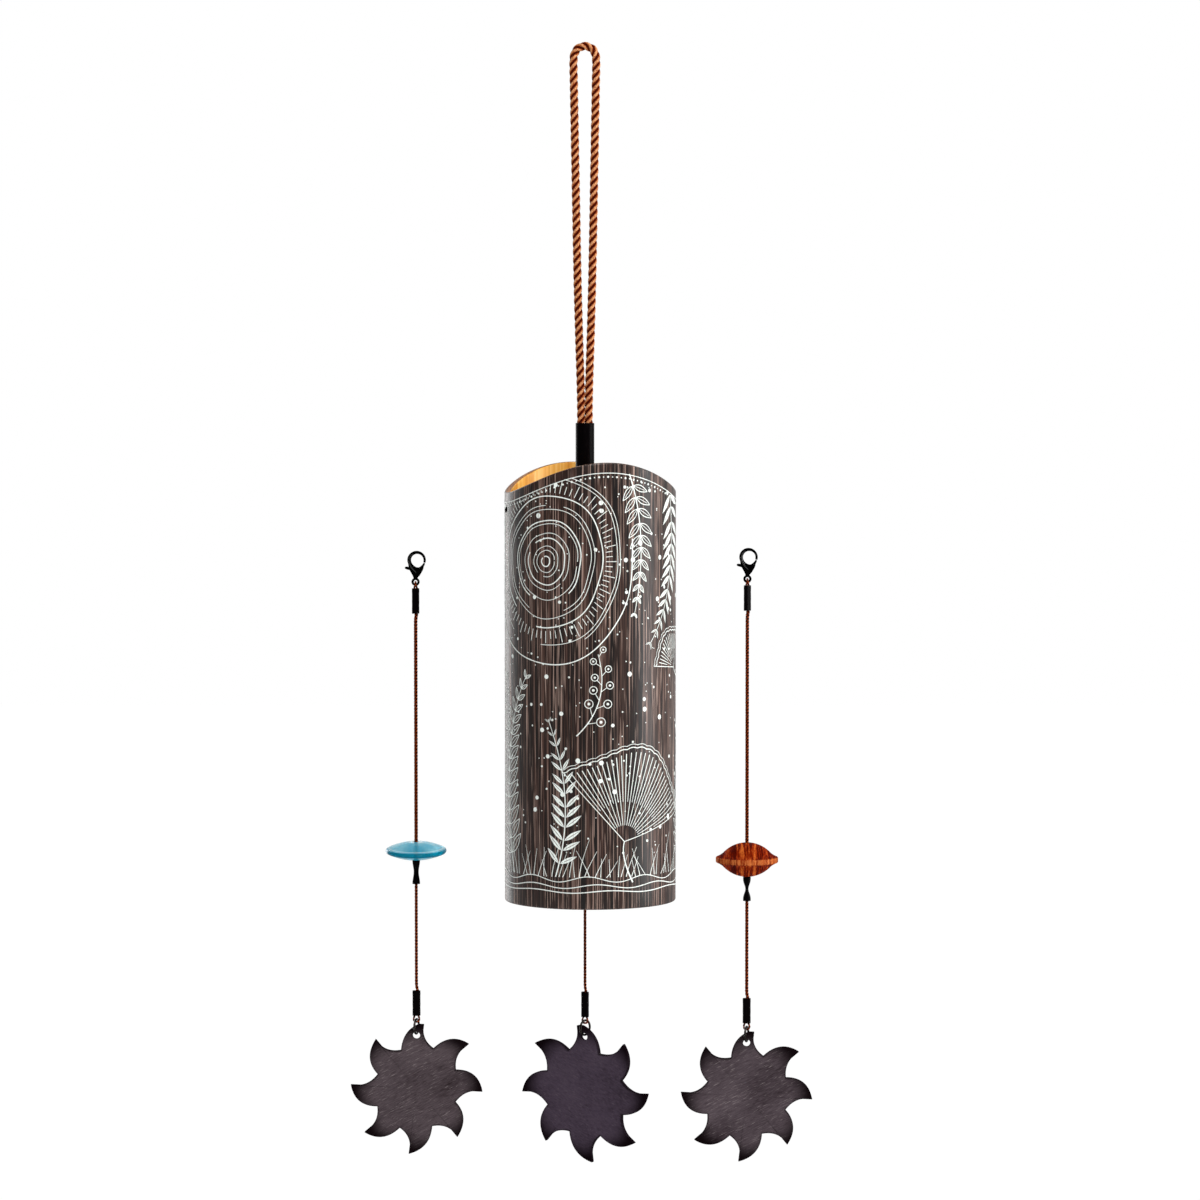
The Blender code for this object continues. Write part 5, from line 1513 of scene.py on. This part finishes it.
def add_tube():
    """The tube with its print, the pin, the bail, and the plate with its seat, rods and screws."""
    wall = add_piece("tube_wall", [moved(tube_surface(), TUBE_AXIS)], stained_bamboo(), "chime",
                     ["bamboo_tube"])
    hole = arc((0.0, 0.0), PIN_HOLE_R, 0.0, TAU, 33)[:-1]
    for side in (1, -1):
        ends = [np.full(len(hole), side * reach) for reach in (TUBE_INNER_R - 3.5, TUBE_R + 4.0)]
        rows = np.stack([np.stack([end, hole[:, 0], hole[:, 1] + PIN_Z], -1) for end in ends])
        drill(wall, [moved(skin(rows), TUBE_AXIS, SADDLE_TURN)])
    ink = [moved(shell, TUBE_AXIS) for shell in print_surfaces()]
    add_piece("tube_print", ink, pale_ink(), "chime")

    bright, dull = linear(206, 206, 208), linear(150, 148, 147)
    steel = drawn_steel("drawn_steel", (3.0, 3.0, 0.06), bright, dull)
    turned_steel = drawn_steel("turned_steel", (1.2, 1.2, 1.2), bright, dull)
    half = PIN_SEEN_HALF
    ends = [(ON_AXIS, half), (PIN_R, half), (PIN_R, -half), (ON_AXIS, -half)]
    pin = moved(turned(rounded(ends, 0.2), 32), (*TUBE_AXIS[:2], PIN_Z), SADDLE_TURN, "X")
    add_piece("steel_pin", [pin], turned_steel, "chime", ["cross_pin"])
    near = np.array(BAIL_ROUTE)
    far = near[:-1][::-1] * (-1, 1, 1)
    route = smooth_route(np.vstack([near, far]), 0.4)
    bail = swept(route @ about_z(SADDLE_TURN) + (0.0, 0.0, PIN_Z), BAIL_R, 14)
    add_piece("wire_bail", [bail], turned_steel, "chime", ["strand_bail"])

    plate = rounded_ring(PLATE_HOLE_R, SEAT_OUTER_R, PLATE_BOTTOM_Z, PLATE_TOP_Z, 0.3, 128)
    add_piece("steel_plate", [moved(plate, TUBE_AXIS)], turned_steel, "chime", ["rod_plate"])
    base = PLATE_TOP_Z + FACE_GAP
    seat = rounded_ring(SEAT_INNER_R, SEAT_OUTER_R, base, base + SEAT_HEIGHT, 0.35, 128)
    add_piece("bamboo_seat", [moved(seat, TUBE_AXIS)], bare_bamboo(), "chime",
              ["plate_seat_ring"])

    count = len(ROD_SEMITONES)
    t = np.linspace(0.0, 1.0, 9)
    fillet = np.stack([ROD_R + (ROD_FOOT_R - ROD_R) * t ** 2.2, ROD_FOOT_HEIGHT * (1 - t) ** 1.4], -1)
    for i, semitones in enumerate(ROD_SEMITONES):
        length = ROD_LONGEST * 2 ** (-semitones / 24)
        turn = SADDLE_TURN + math.pi / count + TAU * i / count
        place = np.array([*ROD_CIRCLE_R * circle(turn), base]) + TUBE_AXIS
        upper = rounded([(ON_AXIS, length), (ROD_R, length), (ROD_R, ROD_FOOT_HEIGHT + 2.0)], 0.25)
        rod = moved(turned(np.vstack([upper, fillet]), 28), place)
        add_piece(f"tuned_rod_{i + 1}", [rod], steel, "chime", [f"chime_rod_{i + 1}"])
    dome = arc((0.0, 0.0), 1.0, 0.0, -math.pi / 2 + 0.03, 9) * (SCREW_HEAD_R, SCREW_HEAD_HEIGHT)
    shank = [(0.3, SCREW_LENGTH), (SCREW_SHANK_R, SCREW_LENGTH - 0.8), (SCREW_SHANK_R, 0.0),
             (SCREW_HEAD_R, 0.0)]
    profile = np.vstack([shank, dome[1:]])
    slot = block(2 * SCREW_HEAD_R, SCREW_SLOT_HALF, (SCREW_SLOT_TOP - 1.0, SCREW_SLOT_TOP))
    for i in range(SCREW_COUNT):
        turn = SADDLE_TURN + TAU * i / SCREW_COUNT
        place = np.array([*SCREW_CIRCLE_R * circle(turn), PLATE_BOTTOM_Z - FACE_GAP]) + TUBE_AXIS
        shape = moved(turned(profile, 28), place, turn)
        screw = add_piece(f"round_screw_{i + 1}", [shape], turned_steel, "chime",
                          [f"plate_screw_{i + 1}"])
        drill(screw, [moved(slot, place, turn)])


def add_strands():
    """The rope's sleeve, and each strand's clasp, sleeves, striker, crimp, ring and sail."""
    sleeve = shrink_sleeve()
    metal = black_metal("black_metal", 0.0)
    polished = black_metal("polished_black", 0.8)
    wire = gunmetal()
    bottom = ROPE_SLEEVE_TOP - ROPE_SLEEVE_LENGTH
    tubing = rounded_ring(ROPE_SLEEVE_BORE_R, ROPE_SLEEVE_R, bottom, ROPE_SLEEVE_TOP, 0.22, 72)
    add_piece("shrunk_rope_sleeve", [tubing], sleeve, "hanger", ["rope_sleeve"])

    sail_finishes = {
        "main": charred_wood("charred_wood_main", linear(54, 45, 55), linear(72, 61, 74),
                             linear(82, 71, 82), slant=math.radians(-27), pores=0.18),
        "left": charred_wood("charred_wood_left", linear(48, 39, 42), linear(80, 70, 74),
                             linear(100, 88, 92), slant=math.radians(27), pores=0.6),
        "right": charred_wood("charred_wood_right", linear(46, 37, 41), linear(77, 67, 72),
                              linear(97, 86, 91), slant=math.radians(25), pores=0.6),
    }
    left, right = STRANDS["left"], STRANDS["right"]
    lens_level = left["seat"] + FACE_GAP + LENS_THICKNESS / 2
    bead_level = right["seat"] + FACE_GAP + BEAD_HEIGHT / 2
    strikers = {"lens": ("teal_lens", teal_acrylic(left["x"], lens_level), "acrylic"),
                "bead": ("striped_bead", striped_wood(right["x"], bead_level), "red_wood"),
                "disc": ("turned_disc", dark_turned_wood(), "turned_disc")}
    for name, strand in STRANDS.items():
        x = strand["x"]
        add_clasp(name, strand, metal, polished)
        upper_top = strand["eye"] - UPPER_SLEEVE_BELOW_EYE
        upper = sleeve_surface((x, 0.0, upper_top), strand["yaw"] + EYE_LEGS_TURN)
        add_piece(f"{name}_shrunk_upper", [upper], sleeve, f"{name}_cord",
                  [f"{name}_upper_sleeve"])
        lower_top = strand["loop"] + LOWER_SLEEVE_ABOVE_LOOP + SLEEVE_LENGTH
        lower = sleeve_surface((x, 0.0, lower_top), strand["sail_yaw"])
        add_piece(f"{name}_shrunk_lower", [lower], sleeve, f"{name}_tail",
                  [f"{name}_lower_sleeve"])
        crimp = crimp_surface((x, 0.0, strand["seat"]), strand["waist"])
        add_piece(f"{name}_pinched_crimp", [crimp], sleeve, f"{name}_cord",
                  [f"{name}_crimp"])

        label, finish, slot = strikers[strand["striker"]]
        if strand["striker"] == "bead":
            shape = bead_surface((x, 0.0, bead_level))
        else:
            tip = LENS_TIP if strand["striker"] == "lens" else 0.0
            shape = lens_surface((x, 0.0, strand["seat"] + FACE_GAP + LENS_THICKNESS / 2), tip)
        add_piece(label, [shape], finish, f"{name}_striker", [f"{name}_striker"])

        ring = ring_surface((x, 0.0, strand["loop"]), strand["sail_yaw"] + RING_TURN)
        add_piece(f"{name}_wire_ring", [ring], wire, f"{name}_link", [f"{name}_jump_ring"])
        add_sail(name, strand, sail_finishes[name], (x, 0.0, strand["loop"] - 2 * RING_R))


add_camera()
add_studio()
add_cords()
add_tube()
add_strands()

bpy.context.view_layer.update()
